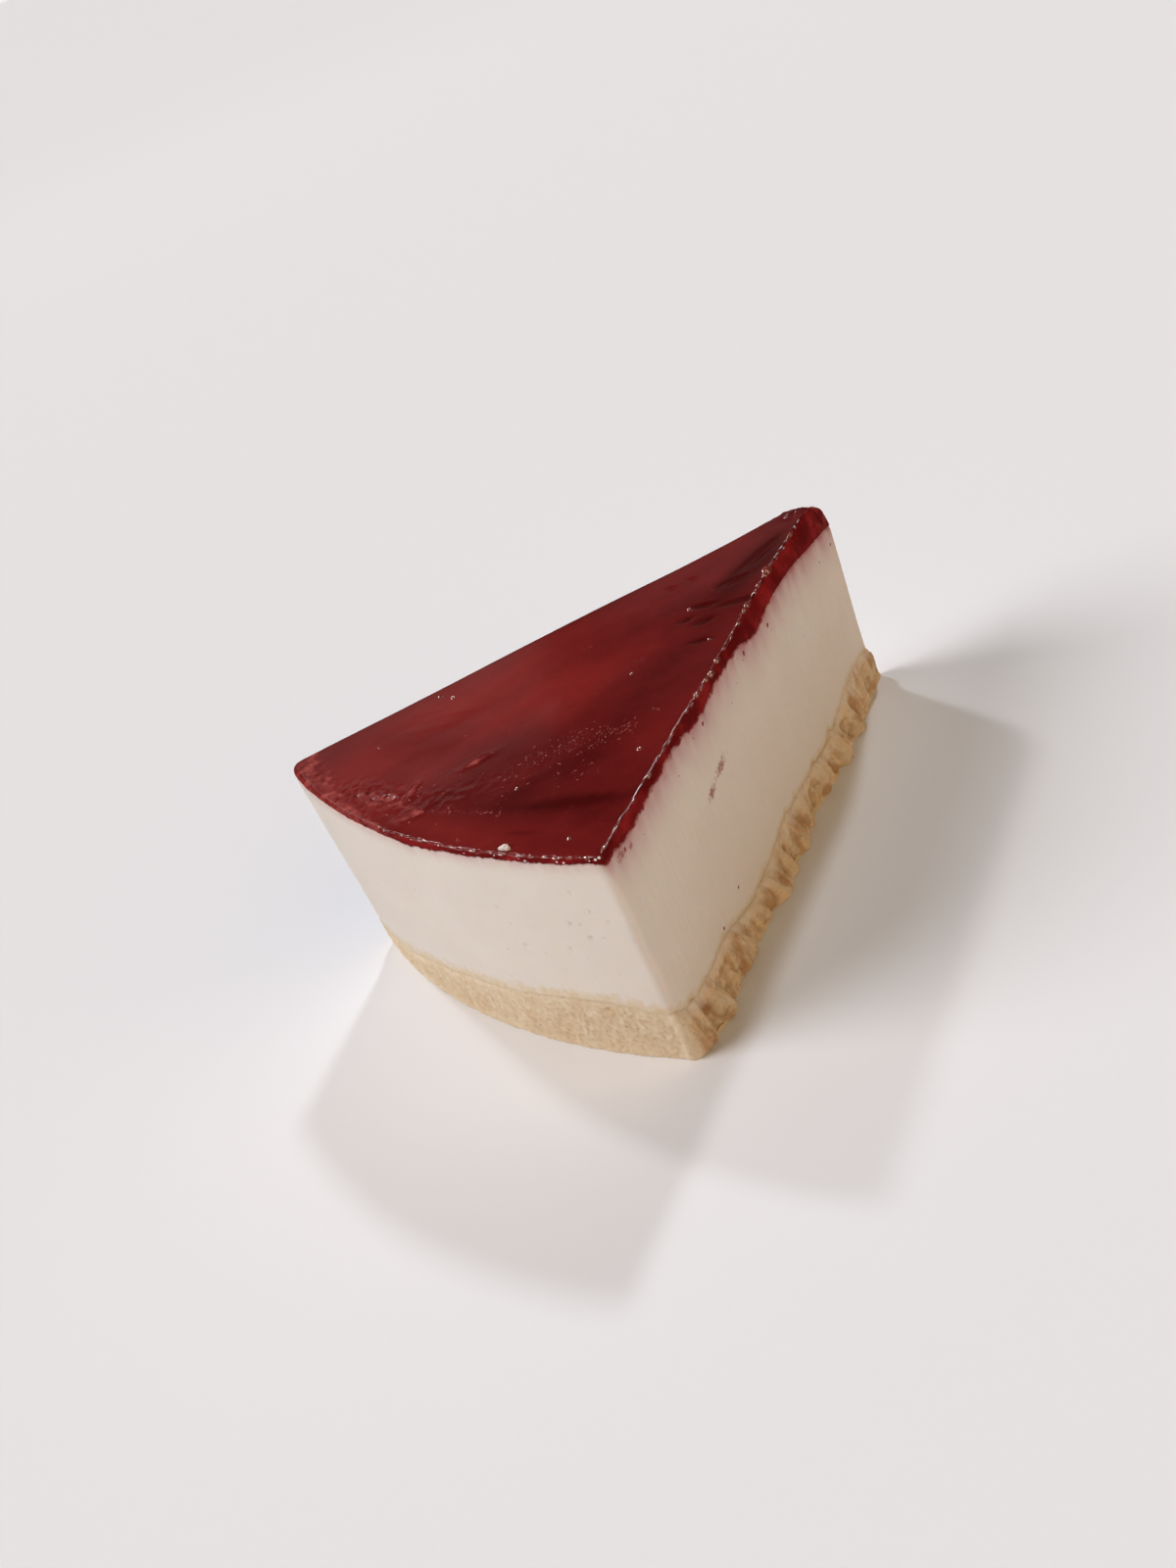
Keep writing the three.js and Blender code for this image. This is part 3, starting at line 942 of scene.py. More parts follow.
@dataclass
class BiscuitBase(Layer):
    """The pressed biscuit base: smooth at the rim, where the tin held it, and torn at the cuts."""

    node: str = "biscuit_base"
    slot: str = "biscuit_crumb"
    name: str = "biscuit_base_crumb"
    facet: float = 0.27 * MM
    nuggets_on_cut: int = 110
    nugget_radii: tuple[float, float] = (0.3 * MM, 0.9 * MM)
    nugget_rarity: float = 2.2
    # How far from the tip and from the rim the nuggets stay.
    nuggets_clear: tuple[float, float] = (2 * MM, 1 * MM)
    nugget_flatness: float = 0.65
    nugget_sunk: float = 0.5
    nugget_unevenness: float = 0.3
    # Where the torn surface starts and is full, going inwards from a cut, the rim and the floor.
    torn_at_cut: tuple[float, float] = (0.5 * MM, 2.5 * MM)
    torn_off_rim: tuple[float, float] = (0.2 * MM, 2.0 * MM)
    torn_off_floor: tuple[float, float] = (0, 0.6 * MM)
    # The cuts' furrows are read this far apart in the noise, so that the two cuts differ.
    cuts_apart: float = 50 * MM
    furrow_width: float = 4.4 * MM
    furrow_height: float = 15 * MM
    furrow_depth: float = 1.5 * MM
    furrow_bias: float = 0.1
    drag_width: float = 1.3 * MM
    drag_height: float = 4.5 * MM
    drag_depth: float = 0.3 * MM
    flare: float = 1.5
    flare_height: float = 8.5 * MM
    flare_reach: float = 3 * MM
    # Deeper clefts in the shown cut, with how deep each is in millimetres.
    clefts: tuple[Patch, ...] = (
        Patch(108.6, 3.5, 3.2, 8, 8, 1.2), Patch(100.2, 5.5, 2.6, 10, -6, 0.8),
        Patch(80.5, 5, 2.4, 10, 5, 0.7), Patch(64.0, 5, 2.2, 10, -8, 0.6), Patch(45.5, 5, 2.2, 10, 6, 0.5),
    )
    clod: float = 3.6 * MM
    clod_depth: float = 0.22 * MM
    crumb: float = 1.3 * MM
    crumb_depth: float = 0.17 * MM
    gap_width: float = 0.3
    grain: float = 0.8 * MM
    grain_depth: float = 0.15 * MM
    grain_off_floor: tuple[float, float] = (0, 0.4 * MM)
    # Next to the filling the surface dips little, so that no crack opens under the filling.
    seam_reach: tuple[float, float] = (0.5 * MM, 3 * MM)
    seam_calm: float = 0.85
    cream_range: float = 5 * MM
    # Fine and wide hollows for the painted shade: the passes of smoothing that level them, and the depth that
    # counts as 1.
    hollow_kinds: tuple[tuple[int, float], ...] = ((25, 0.5 * MM), (220, 1.3 * MM))
    seed: int = 5

    def build(self) -> bpy.types.Object:
        """Models the base and dresses it.

        Returns:
            The finished piece.
        """
        low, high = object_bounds()
        piece = self.copy_of_solid()
        nuggets = self.nuggets(piece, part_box(self.node)[1].z)
        deselect_all()
        nuggets.select_set(True)
        piece.select_set(True)
        bpy.context.view_layer.objects.active = piece
        bpy.ops.object.join()
        self.refine(piece, passes=1)
        for up in (1, -1):
            self.thin_hidden_faces(piece, up)
        torn = self.torn_share(piece)
        points = self.flared(vertices_of(piece))
        move_vertices(piece, points)
        from_cream = distance_to(bpy.data.objects["cream_filling"], points, self.cream_range)
        rise = self.relief(piece, torn)
        at_seam = (rise < 0) * (1 - smooth(from_cream, *self.seam_reach))
        points += (rise * (1 - self.seam_calm * at_seam))[:, None] * normals_of(piece)
        move_vertices(piece, np.clip(points, np.array(low), np.array(high)))
        write_attribute(piece, "torn", torn)
        # How deep each vertex lies in a hollow, which the material darkens as painted shade.
        painted_hollow_shade = sum(self.hollows(piece, passes, deep) for passes, deep in self.hollow_kinds)
        write_attribute(piece, "painted_hollow_shade", painted_hollow_shade)
        write_attribute(piece, "from_cream", from_cream)
        self.hand_over(piece, BiscuitCrumb().material())
        return piece

    def nuggets(self, piece: bpy.types.Object, top: float) -> bpy.types.Object:
        """Scatters crumbs over the torn cuts, sunk in their surface.

        Args:
            piece: The base that they sit in.
            top: The level of the base's highest point.

        Returns:
            The crumbs as one mesh.
        """
        draw = np.random.default_rng(self.seed)
        tree = search_tree(piece)
        start_off, search = 10 * MM, 14 * MM
        off_tip, off_rim = self.nuggets_clear
        placements = []
        for cut in Cut:
            outward = self.form.outward(cut)
            for _ in range(self.nuggets_on_cut):
                along = draw.uniform(off_tip, self.form.rim_radius_low - off_rim)
                start = self.form.on_cut(cut, along, draw.uniform(0, top)) + outward * start_off
                place, normal, _, _ = tree.ray_cast(start, -outward, search)
                if place is None:
                    continue
                radius = rarely_large(draw, self.nugget_radii, self.nugget_rarity)
                turn = Euler(draw.uniform(0, math.tau, 3)).to_matrix().to_4x4()
                squash = Matrix.Diagonal((*(radius * draw.uniform(self.nugget_flatness, 1, 3)), 1))
                middle = place - normal * radius * self.nugget_sunk
                placements.append(Matrix.Translation(middle) @ turn @ squash)
        pattern = lump_pattern(self.nugget_unevenness, splits=2, part=3)
        return joined_copies("crumbs", pattern, placements)

    def torn_share(self, piece: bpy.types.Object) -> np.ndarray:
        """Works out how torn the base is.

        Args:
            piece: The base.

        Returns:
            For each vertex 1 on the torn cuts, and 0 at the rim, underneath and inside.
        """
        points = vertices_of(piece)
        near_cut = 1 - smooth(self.form.under_cuts(points), *self.torn_at_cut)
        off_rim = smooth(self.form.under_rim(points), *self.torn_off_rim)
        off_floor = smooth(points[:, 2], *self.torn_off_floor)
        return near_cut * off_rim * off_floor

    def flared(self, points: np.ndarray) -> np.ndarray:
        """Slopes the ledge at the cuts and the tip, so that it runs out from under the filling.

        Args:
            points: The base's vertices.

        Returns:
            The vertices, lower the further they stand out past a cut.
        """
        past_tip = points[:, 1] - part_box("cream_filling")[1].y
        past_cut = np.clip(np.maximum(-self.form.under_cuts(points), past_tip), 0, self.flare_reach)
        lower = self.flare * past_cut * np.clip(points[:, 2] / self.flare_height, 0, 1)
        return points - lower[:, None] * (0, 0, 1)

    def relief(self, piece: bpy.types.Object, torn: np.ndarray) -> np.ndarray:
        """Works out how far each vertex of the base stands out.

        Args:
            piece: The base.
            torn: How torn the base is at each vertex, from 0 to 1.

        Returns:
            The rise along the surface's outward direction.
        """
        points = vertices_of(piece)
        out, turn = self.form.polar(points)
        wall = np.column_stack((out, points[:, 2], self.cuts_apart * np.sign(turn)))
        furrow_size = (self.furrow_width, self.furrow_height, MM)
        waves = noise_at(wall, furrow_size, part=1, detail=2)
        furrows = self.furrow_depth * (waves - self.furrow_bias)
        furrows -= sum(cleft.amount * MM * cleft.share(wall) for cleft in self.clefts) * (turn > 0)
        drag_size = (self.drag_width, self.drag_height, MM)
        drags = self.drag_depth * noise_at(wall, drag_size, part=5, detail=2)
        clods = self.clod_depth * self.lumps(points, self.clod, part=2, level=0.35, gap_depth=0.25)
        crumbs = self.crumb_depth * self.lumps(points, self.crumb, part=3, level=0.3, gap_depth=0.3)
        grain = noise_at(points, self.grain, part=4)
        off_floor = smooth(points[:, 2], *self.grain_off_floor)
        return torn * (furrows + drags + clods + crumbs) + off_floor * self.grain_depth * grain

    def lumps(
        self, points: np.ndarray, size: float, part: int, level: float, gap_depth: float
    ) -> np.ndarray:
        """Shapes close round lumps with gaps between them.

        Args:
            points: The base's vertices.
            size: How large the lumps are.
            part: The part of the endless pattern that is read.
            level: How far the middle of a lump stands out, of a depth of 1.
            gap_depth: How far the gaps sink in besides.

        Returns:
            The rise at each vertex, for lumps with a depth of 1.
        """
        middle, gap = crumbs_at(points, size, part)
        return level - middle**2 - gap_depth * (1 - smooth(gap, 0, self.gap_width))

    def hollows(self, piece: bpy.types.Object, passes: int, deep: float) -> np.ndarray:
        """Measures how far each vertex lies in a hollow, for the painted shade there.

        Args:
            piece: The base.
            passes: How often a copy is smoothed, to level the hollows: the more, the wider.
            deep: The depth that counts as 1.

        Returns:
            The depth at each vertex, less than 0 where it stands out.
        """
        level = piece.copy()
        level.data = piece.data.copy()
        bpy.context.collection.objects.link(level)
        apply_modifier(level, "SMOOTH", factor=0.9, iterations=passes)
        rise = vertices_of(level) - vertices_of(piece)
        depth = np.sum(rise * normals_of(level), axis=1)
        bpy.data.objects.remove(level)
        return depth / deep


@dataclass
class CreamFilling(Layer):
    """The cream cheese filling: smooth at the rim, wiped by the knife at the cuts."""

    node: str = "cream_filling"
    slot: str = "cream_cheese"
    name: str = "cream_cheese_filling"
    facet: float = 0.4 * MM
    hidden_depth: float = 2.5 * MM
    into_jelly: float = 0.38 * MM
    into_base: float = 0.9 * MM
    overlap: float = 0.18 * MM
    tuck: float = 0.4 * MM
    # How near the base the filling laps over it, and how near the jelly it is tucked in under it.
    overlap_reach: tuple[float, float] = (0, 1.2 * MM)
    tuck_reach: tuple[float, float] = (0.15 * MM, 0.5 * MM)
    # Where a wall turns from the rim's finish to the cut's, by how much nearer the cut is.
    cut_blend: tuple[float, float] = (-0.8 * MM, 1.2 * MM)
    haze_reach_cut: float = 13 * MM
    haze_reach_rim: float = 4 * MM
    haze_at_rim: float = 0.5
    haze_gain_on_cut: float = 0.4
    haze_fading: int = 3
    # The red smear's width on the cut near the tip, its gain outwards, and where it gains.
    smear_on_cut: tuple[float, float] = (0.12 * MM, 0.5 * MM)
    smear_grows: tuple[float, float] = (18 * MM, 55 * MM)
    # The same at the rim, where it gains over these degrees from the slice's middle.
    smear_at_rim: tuple[float, float] = (0.15 * MM, 0.1 * MM)
    smear_grows_at_rim: tuple[float, float] = (-6, 3)
    # How much faster the crumbs along the seam thin out on a cut than at the rim.
    crumbs_thin_on_cut: float = 0.8
    measured_range: float = 12 * MM
    # Past this many widths of the smear, nothing of it is left.
    smear_over: float = 4
    # The upright edges have slumped this far from where a cut meets the rim.
    slump_reach: float = 3.91 * MM
    slump_passes: int = 14
    # How far in from the shown cut its fruit smears reach.
    fruit_depth: float = 5 * MM
    # Pores at the rim: degrees from the slice's middle, height and radius in millimetres.
    rim_pores: tuple[tuple[float, float, float], ...] = (
        (15.5, 29.9, 0.5), (16.8, 27.1, 0.5), (14.3, 24.3, 0.45), (17.0, 36.7, 0.4),
        (9.6, 23.6, 0.5), (11.9, 28.7, 0.4), (19.1, 30.5, 0.4), (3.9, 33.3, 0.35), (6.5, 31.2, 0.35),
    )
    # Smears of fruit on the shown cut.
    fruit_smears: tuple[Patch, ...] = (
        Patch(74.2, 30.0, 7.0, 2.6, -6), Patch(80.0, 28.7, 5.0, 2.3, -14), Patch(82.3, 10.1, 1.2, 1.0, 0),
        Patch(112.0, 40.4, 4.0, 2.6, 20), Patch(108.6, 39.5, 2.0, 1.4, -30),
    )
    stray_pores: int = 110
    stray_heights: tuple[float, float] = (14, 40)
    stray_radii: tuple[float, float] = (0.2, 0.4)
    # Where stray pores are: degrees round the rim, and from the cake's centre along a cut.
    pored_rim: tuple[float, float] = (-20, 20)
    pored_cut: tuple[float, float] = (4 * MM, 112 * MM)
    full_pore_radius: float = 0.5 * MM
    pore_depth: float = 0.38 * MM
    swell: float = 9 * MM
    swell_depth: float = 0.16 * MM
    seed: int = 8

    def build(self, base: bpy.types.Object, jelly: bpy.types.Object) -> bpy.types.Object:
        """Models the filling and dresses it.

        Args:
            base: The finished base, below it.
            jelly: The finished jelly, on top.

        Returns:
            The finished piece.
        """
        piece = self.copy_of_solid()
        self.close_gap(piece, up=1, reach=self.into_jelly)
        self.close_gap(piece, up=-1, reach=self.into_base)
        self.refine(piece, passes=2)
        self.soften_corners(piece)
        for up in (1, -1):
            self.thin_hidden_faces(piece, up)
        self.press_pores(piece)
        points = vertices_of(piece)
        under_rim = self.form.under_rim(points)
        cut = smooth(under_rim - self.form.under_cuts(points), *self.cut_blend)
        swell_size = (self.swell, self.swell, 2 * self.swell)
        swells = self.swell_depth * cut * noise_at(points, swell_size, part=6, detail=2)
        points -= np.abs(swells)[:, None] * normals_of(piece)
        from_base = distance_to(base, points, self.measured_range)
        from_jelly = distance_to(jelly, points, self.measured_range)
        shift = self.overlap * (1 - smooth(from_base, *self.overlap_reach)) * (1 - cut)
        shift -= self.tuck * (1 - smooth(from_jelly, *self.tuck_reach))
        points += shift[:, None] * normals_of(piece) * (1, 1, 0)
        move_vertices(piece, points)
        reach = self.haze_reach_rim + (self.haze_reach_cut - self.haze_reach_rim) * cut
        fading = np.clip(1 - from_jelly / reach, 0, 1) ** self.haze_fading
        write_attribute(piece, "cut", cut)
        write_attribute(piece, "spots", self.spots(points))
        write_attribute(piece, "haze", (self.haze_at_rim + self.haze_gain_on_cut * cut) * fading)
        past_smear = from_jelly / self.smear_width(points, cut)
        write_attribute(piece, "past_smear", np.minimum(past_smear, self.smear_over))
        write_attribute(piece, "from_base", from_base * (1 + self.crumbs_thin_on_cut * cut))
        self.hand_over(piece, CreamCheese().material())
        return piece

    def smear_width(self, points: np.ndarray, cut: np.ndarray) -> np.ndarray:
        """Works out how wide the red smear under the jelly is.

        Args:
            points: The filling's vertices.
            cut: How much of a cut's finish each vertex has, from 0 to 1.

        Returns:
            The width at each vertex.
        """
        least, gain = self.smear_on_cut
        on_cut = least + gain * smooth(self.form.polar(points)[0], *self.smear_grows)
        least, gain = self.smear_at_rim
        at_rim = least + gain * smooth(self.form.turn_of(points), *self.smear_grows_at_rim)
        return cut * on_cut + (1 - cut) * at_rim

    def spots(self, points: np.ndarray) -> np.ndarray:
        """Works out how much of the smears of fruit is at each vertex.

        Args:
            points: The filling's vertices.

        Returns:
            For each vertex 1 in the middle of a smear, falling to 0 past its edge.
        """
        on_wall = np.column_stack((self.form.polar(points)[0], points[:, 2]))
        share = np.maximum.reduce([smear.share(on_wall) for smear in self.fruit_smears])
        return share * (self.form.under_cut(points, Cut.SHOWN) < self.fruit_depth)

    def close_gap(self, piece: bpy.types.Object, up: int, reach: float) -> None:
        """Moves the side that meets a neighbour just into it, so that no gap shows.

        Args:
            piece: The copy of the solid.
            up: 1 for its upper side, or -1 for its lower side.
            reach: How far it moves.
        """
        _, normals = faces_of(piece)
        with edit_mode(piece):
            select_faces(piece, up * normals[:, 2] > LYING_FLAT)
            bpy.ops.transform.translate(value=(0, 0, up * reach))

    def soften_corners(self, piece: bpy.types.Object) -> None:
        """Rounds the upright edges where the cuts meet the rim, as soft filling slumps there.

        Args:
            piece: The filling.
        """
        points = vertices_of(piece)
        from_edge = np.hypot(self.form.under_cuts(points), self.form.under_rim(points))
        group = piece.vertex_groups.new(name="corners")
        group.add(np.flatnonzero(from_edge < self.slump_reach).tolist(), 1.0, "REPLACE")
        apply_modifier(
            piece, "SMOOTH", factor=0.5, iterations=self.slump_passes, vertex_group=group.name
        )
        piece.vertex_groups.clear()

    def press_pores(self, piece: bpy.types.Object) -> None:
        """Presses small pores into the walls: the plainest at their places, others by chance.

        Args:
            piece: The filling.
        """
        draw = np.random.default_rng(self.seed)
        pores = [
            (self.form.on_rim(degrees, height * MM), radius * MM)
            for degrees, height, radius in self.rim_pores
        ]
        for _ in range(self.stray_pores):
            height, radius = draw.uniform(*self.stray_heights) * MM, draw.uniform(*self.stray_radii) * MM
            side = draw.integers(3)
            if side == 0:
                pores.append((self.form.on_rim(draw.uniform(*self.pored_rim), height), radius))
            else:
                cut = Cut.SHOWN if side == 1 else Cut.HIDDEN
                pores.append((self.form.on_cut(cut, draw.uniform(*self.pored_cut), height), radius))
        tree = search_tree(piece)
        points = vertices_of(piece)
        for middle, radius in pores:
            place, normal, _, _ = tree.find_nearest(middle)
            away = np.linalg.norm(points - np.array(place), axis=1) / radius
            depth = self.pore_depth * min(1, radius / self.full_pore_radius)
            dip = np.clip(1 - away**2, 0, 1) * depth
            points -= dip[:, None] * np.array(normal)
        move_vertices(piece, points)


@dataclass
class RaspberryTop(Layer):
    """The raspberry jelly: glossy on top, and dull where the knife and the tin tore it."""

    node: str = "raspberry_jelly"
    slot: str = "raspberry_gel"
    name: str = "raspberry_jelly_top"
    facet: float = 0.3 * MM
    # Unevenness: how large its swells are, and how far they rise.
    swells: tuple[float, float] = (16 * MM, 0.05 * MM)
    side_lumps: tuple[float, float] = (3.0 * MM, 0.22 * MM)
    tears: tuple[float, float] = (1.0 * MM, 0.08 * MM)
    edge_lumps: tuple[float, float] = (1.0 * MM, 0.24 * MM)
    wrinkle: float = 1.7 * MM
    # How upright the surface faces where the side gives way to the top, for what each part reads.
    top_facing: tuple[float, float] = (0.6, 0.95)
    side_facing: tuple[float, float] = (0.5, 0.9)
    edge_starts: tuple[float, float] = (0.2, 0.5)
    edge_ends: tuple[float, float] = (0.9, 0.995)
    rough_edge_ends: tuple[float, float] = (0.95, 0.998)
    # Where a side turns from the rim's finish to the cut's, by how much nearer the rim is.
    rim_blend: tuple[float, float] = (-0.6 * MM, 0.6 * MM)
    lip_stretch: float = 0.5
    lip_height: float = 1.6 * MM
    lip_reach: tuple[float, float] = (0.8 * MM, 2.5 * MM)
    # Coarse and fine raggedness of the lip.
    rags: tuple[float, float] = (1.9 * MM, 0.7 * MM)
    raggedness: float = 0.5
    # The torn strip along the rim: its least width, and its gain towards the hidden cut.
    torn_strip: tuple[float, float] = (0.8 * MM, 5.0 * MM)
    # Where the strip fades, with its width as 1.
    strip_fades: tuple[float, float] = (0.5, 1.4)
    # How much tearing the strip and the tip, the raised flaws and the wrinkles bring.
    torn_strength: float = 0.5
    flaw_tearing: float = 0.9
    wrinkle_tearing: float = 1.3
    # Where the jelly near the tip is torn fully, and not at all, from the cake's centre.
    torn_tip: tuple[float, float] = (4 * MM, 9 * MM)
    # Where the side that shows ends, inwards from its cut.
    shown_reach: tuple[float, float] = (6 * MM, 9 * MM)
    # Degrees towards the shown cut over which the rim turns to that side, and its lip gets wet.
    shown_turn: tuple[float, float] = (-5, 1)
    wet_turn: tuple[float, float] = (-5, 2)
    # Degrees towards the hidden cut over which the rim gets dull and torn, and the strip widens.
    dull_turn: tuple[float, float] = (-1, 2)
    torn_turn: tuple[float, float] = (-1, 3)
    strip_widens: tuple[float, float] = (0, 21)
    # What is added to the tones, so that their mean suits the photograph.
    mean_tone: float = -0.01
    # Small dents and raised flaws of the top, with how far each rises in millimetres.
    flaws: tuple[Patch, ...] = (
        Patch(3.5, 33.2, 11, 2.0, 94, -0.14), Patch(5.3, 23.6, 5, 1.6, 62, -0.14),
        Patch(11.6, 17.6, 6, 1.5, 48, -0.14), Patch(5.0, 14.3, 3.5, 1.4, 33, -0.2),
        Patch(5.0, 9.2, 2.5, 1.2, 60, -0.18), Patch(9.2, 9.9, 3.2, 1.4, 55, -0.2),
        Patch(13.3, 4.1, 3.0, 1.1, 40, -0.18), Patch(-4.6, 22.1, 1.6, 1.2, 0, -0.2),
        Patch(-6.7, 18.3, 1.7, 1.2, 20, -0.2), Patch(5.2, -3.9, 1.3, 1.0, 0, -0.2),
        Patch(-9.0, -3.2, 1.2, 1.0, 0, -0.16), Patch(-2.1, -38.3, 5.5, 1.6, 70, 0.16),
        Patch(-1.9, -54.6, 4.4, 2.2, 65, 0.45), Patch(-7.5, -49.7, 4.8, 1.2, 114, 0.3),
    )
    # Where the skin of the top is wrinkled, with how high the wrinkles are in millimetres.
    wrinkled: tuple[Patch, ...] = (
        Patch(-13.5, -53.0, 18, 5.5, 6, 0.38), Patch(0.5, -48.5, 9, 5, 40, 0.09),
        Patch(9.0, -40.5, 16, 8, 40, 0.03),
    )
    # Where the jelly is lighter or darker than its mean, as a share of its range: mostly its own tone, but
    # the dark strip along the hidden cut's edge and the dark spots over the dents near the tip are painted
    # shade.
    tones_with_painted_shade: tuple[Patch, ...] = (
        Patch(-20, -31, 60, 26, 77, 0.5), Patch(-1.5, -17, 30, 15, 78, 0.35),
        Patch(19, -45, 36, 9, 12, -0.22), Patch(12, 0, 96, 10, 102, -0.22),
        Patch(26.5, -41.5, 20, 3.2, 29, -0.35), Patch(29.5, -48.5, 14, 4.5, 20, 0.13),
        Patch(4.6, 29.5, 22, 6.5, 100, -0.55), Patch(-3, 8, 34, 40, 90, -0.1),
        # Painted shade: the dark spots at the places of the dents near the tip.
        Patch(3.5, 33.2, 11, 2.2, 94, -0.4), Patch(5.3, 23.6, 6, 2.0, 62, -0.5),
        Patch(11.6, 17.6, 7, 1.8, 48, -0.5), Patch(23.1, -51.3, 7, 1.0, 20, -0.25),
        Patch(5.0, 14.3, 4.5, 1.5, 33, -0.5), Patch(5.0, 9.2, 3, 1.4, 60, -0.4),
        Patch(9.2, 9.9, 4, 1.6, 55, -0.5), Patch(13.3, 4.1, 4, 1.3, 40, -0.4),
        Patch(-16.5, -53, 8, 1.6, 18, -0.5), Patch(4, -55.5, 56, 6, 2, 0.26),
        # Painted shade: the long dark strip along the hidden cut's edge.
        Patch(-24, 0, 110, 4.0, 68.9, -0.5), Patch(-22.5, -37.6, 16, 11, 15, -0.33),
        Patch(9.5, -34.6, 42, 15, 6, -0.2),
    )

    def build(self) -> bpy.types.Object:
        """Models the jelly and dresses it.

        Returns:
            The finished piece.
        """
        low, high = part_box(self.node)
        piece = self.copy_of_solid()
        self.refine(piece, passes=2)
        self.thin_hidden_faces(piece, up=-1)
        normals = normals_of(piece)
        points = vertices_of(piece)
        upright = normals[:, 2]
        facing_up = smooth(upright, *self.top_facing)
        steep = 1 - smooth(upright, *self.side_facing)
        nearer_rim = self.form.under_rim(points) - self.form.under_cuts(points)
        at_rim = 1 - smooth(nearer_rim, *self.rim_blend)
        rise = self.uneven(points, self.swells, part=7) * facing_up
        rise += self.uneven(points, self.side_lumps, part=8) * steep * (upright > -LYING_FLAT)
        wrinkles = sum(patch.amount * MM * patch.share(points) for patch in self.wrinkled)
        rise += wrinkles * noise_at(points, self.wrinkle, part=9, detail=2) * facing_up
        rise += self.uneven(points, self.tears, part=10) * self.torn_share(points)
        points[:, 2] -= self.lip_drop(points)
        at_edge = smooth(upright, *self.edge_starts) * (1 - smooth(upright, *self.edge_ends))
        shown = self.shown_side(points)
        rise += self.uneven(points, self.edge_lumps, part=14) * at_edge * shown
        rise += sum(flaw.amount * MM * flaw.share(points) for flaw in self.flaws) * facing_up
        points += rise[:, None] * normals
        points = np.clip(points, np.array(low), np.array(high) - (0, 0, 0.01 * MM))
        move_vertices(piece, points)
        dull_rim = at_rim * smooth(-self.form.turn_of(points), *self.dull_turn)
        write_attribute(piece, "torn", np.maximum(self.torn_share(points), steep * dull_rim))
        write_attribute(piece, "cut", steep * (1 - dull_rim))
        write_attribute(piece, "edge", (1 - smooth(upright, *self.rough_edge_ends)) * shown)
        write_attribute(piece, "tone_with_painted_shade", self.tone_with_painted_shade(points))
        self.hand_over(piece, RaspberryGel().material())
        return piece

    def uneven(self, points: np.ndarray, swells: tuple[float, float], part: int) -> np.ndarray:
        """Gives soft unevenness at each point, from how large its swells are and how far they rise."""
        size, height = swells
        return height * noise_at(points, size, part, detail=2)

    def shown_side(self, points: np.ndarray) -> np.ndarray:
        """Gives 1 near the shown cut and on its half of the rim, and 0 elsewhere, at each vertex."""
        near_cut = 1 - smooth(self.form.under_cut(points, Cut.SHOWN), *self.shown_reach)
        return np.maximum(near_cut, smooth(self.form.turn_of(points), *self.shown_turn))

    def lip_drop(self, points: np.ndarray) -> np.ndarray:
        """Works out how far the jelly's lip hangs down over the filling at the rim.

        Args:
            points: The jelly's vertices.

        Returns:
            The drop at each vertex.
        """
        at_rim = 1 - smooth(self.form.under_rim(points), *self.lip_reach)
        wet = smooth(self.form.turn_of(points), *self.wet_turn)
        level = points * (1, 1, 0)
        coarse, fine = (noise_at(level, size, part, 2) for part, size in enumerate(self.rags, 15))
        ragged = 1 + self.raggedness * coarse + self.raggedness * fine
        depth = np.clip(self.form.height - points[:, 2], 0, self.lip_height)
        return self.lip_stretch * depth * ragged * at_rim * wet

    def torn_share(self, points: np.ndarray) -> np.ndarray:
        """Works out how torn the jelly is.

        Args:
            points: The jelly's vertices.

        Returns:
            For each vertex 1 where it is torn and dull, and 0 where it is glossy.
        """
        hidden_turn = -self.form.turn_of(points)
        least, gain = self.torn_strip
        width = least + gain * smooth(hidden_turn, *self.strip_widens)
        at_rim = 1 - smooth(self.form.under_rim(points) / width, *self.strip_fades)
        at_rim *= smooth(hidden_turn, *self.torn_turn)
        at_tip = 1 - smooth(self.form.polar(points)[0], *self.torn_tip)
        raised = sum(flaw.share(points) for flaw in self.flaws if flaw.amount > 0)
        wrinkled = sum(patch.amount * patch.share(points) for patch in self.wrinkled)
        shares = (
            self.torn_strength * at_rim, self.torn_strength * at_tip,
            self.flaw_tearing * raised, self.wrinkle_tearing * wrinkled,
        )
        return np.clip(np.maximum.reduce(shares), 0, 1)

    def tone_with_painted_shade(self, points: np.ndarray) -> np.ndarray:
        """Gives how light the jelly is at each vertex, before its clouds, from 0 to 1, with the painted shade
        along the hidden edge and in the dents.
        """
        return sum(patch.amount * patch.share(points) for patch in self.tones_with_painted_shade) + self.mean_tone


# Small pieces


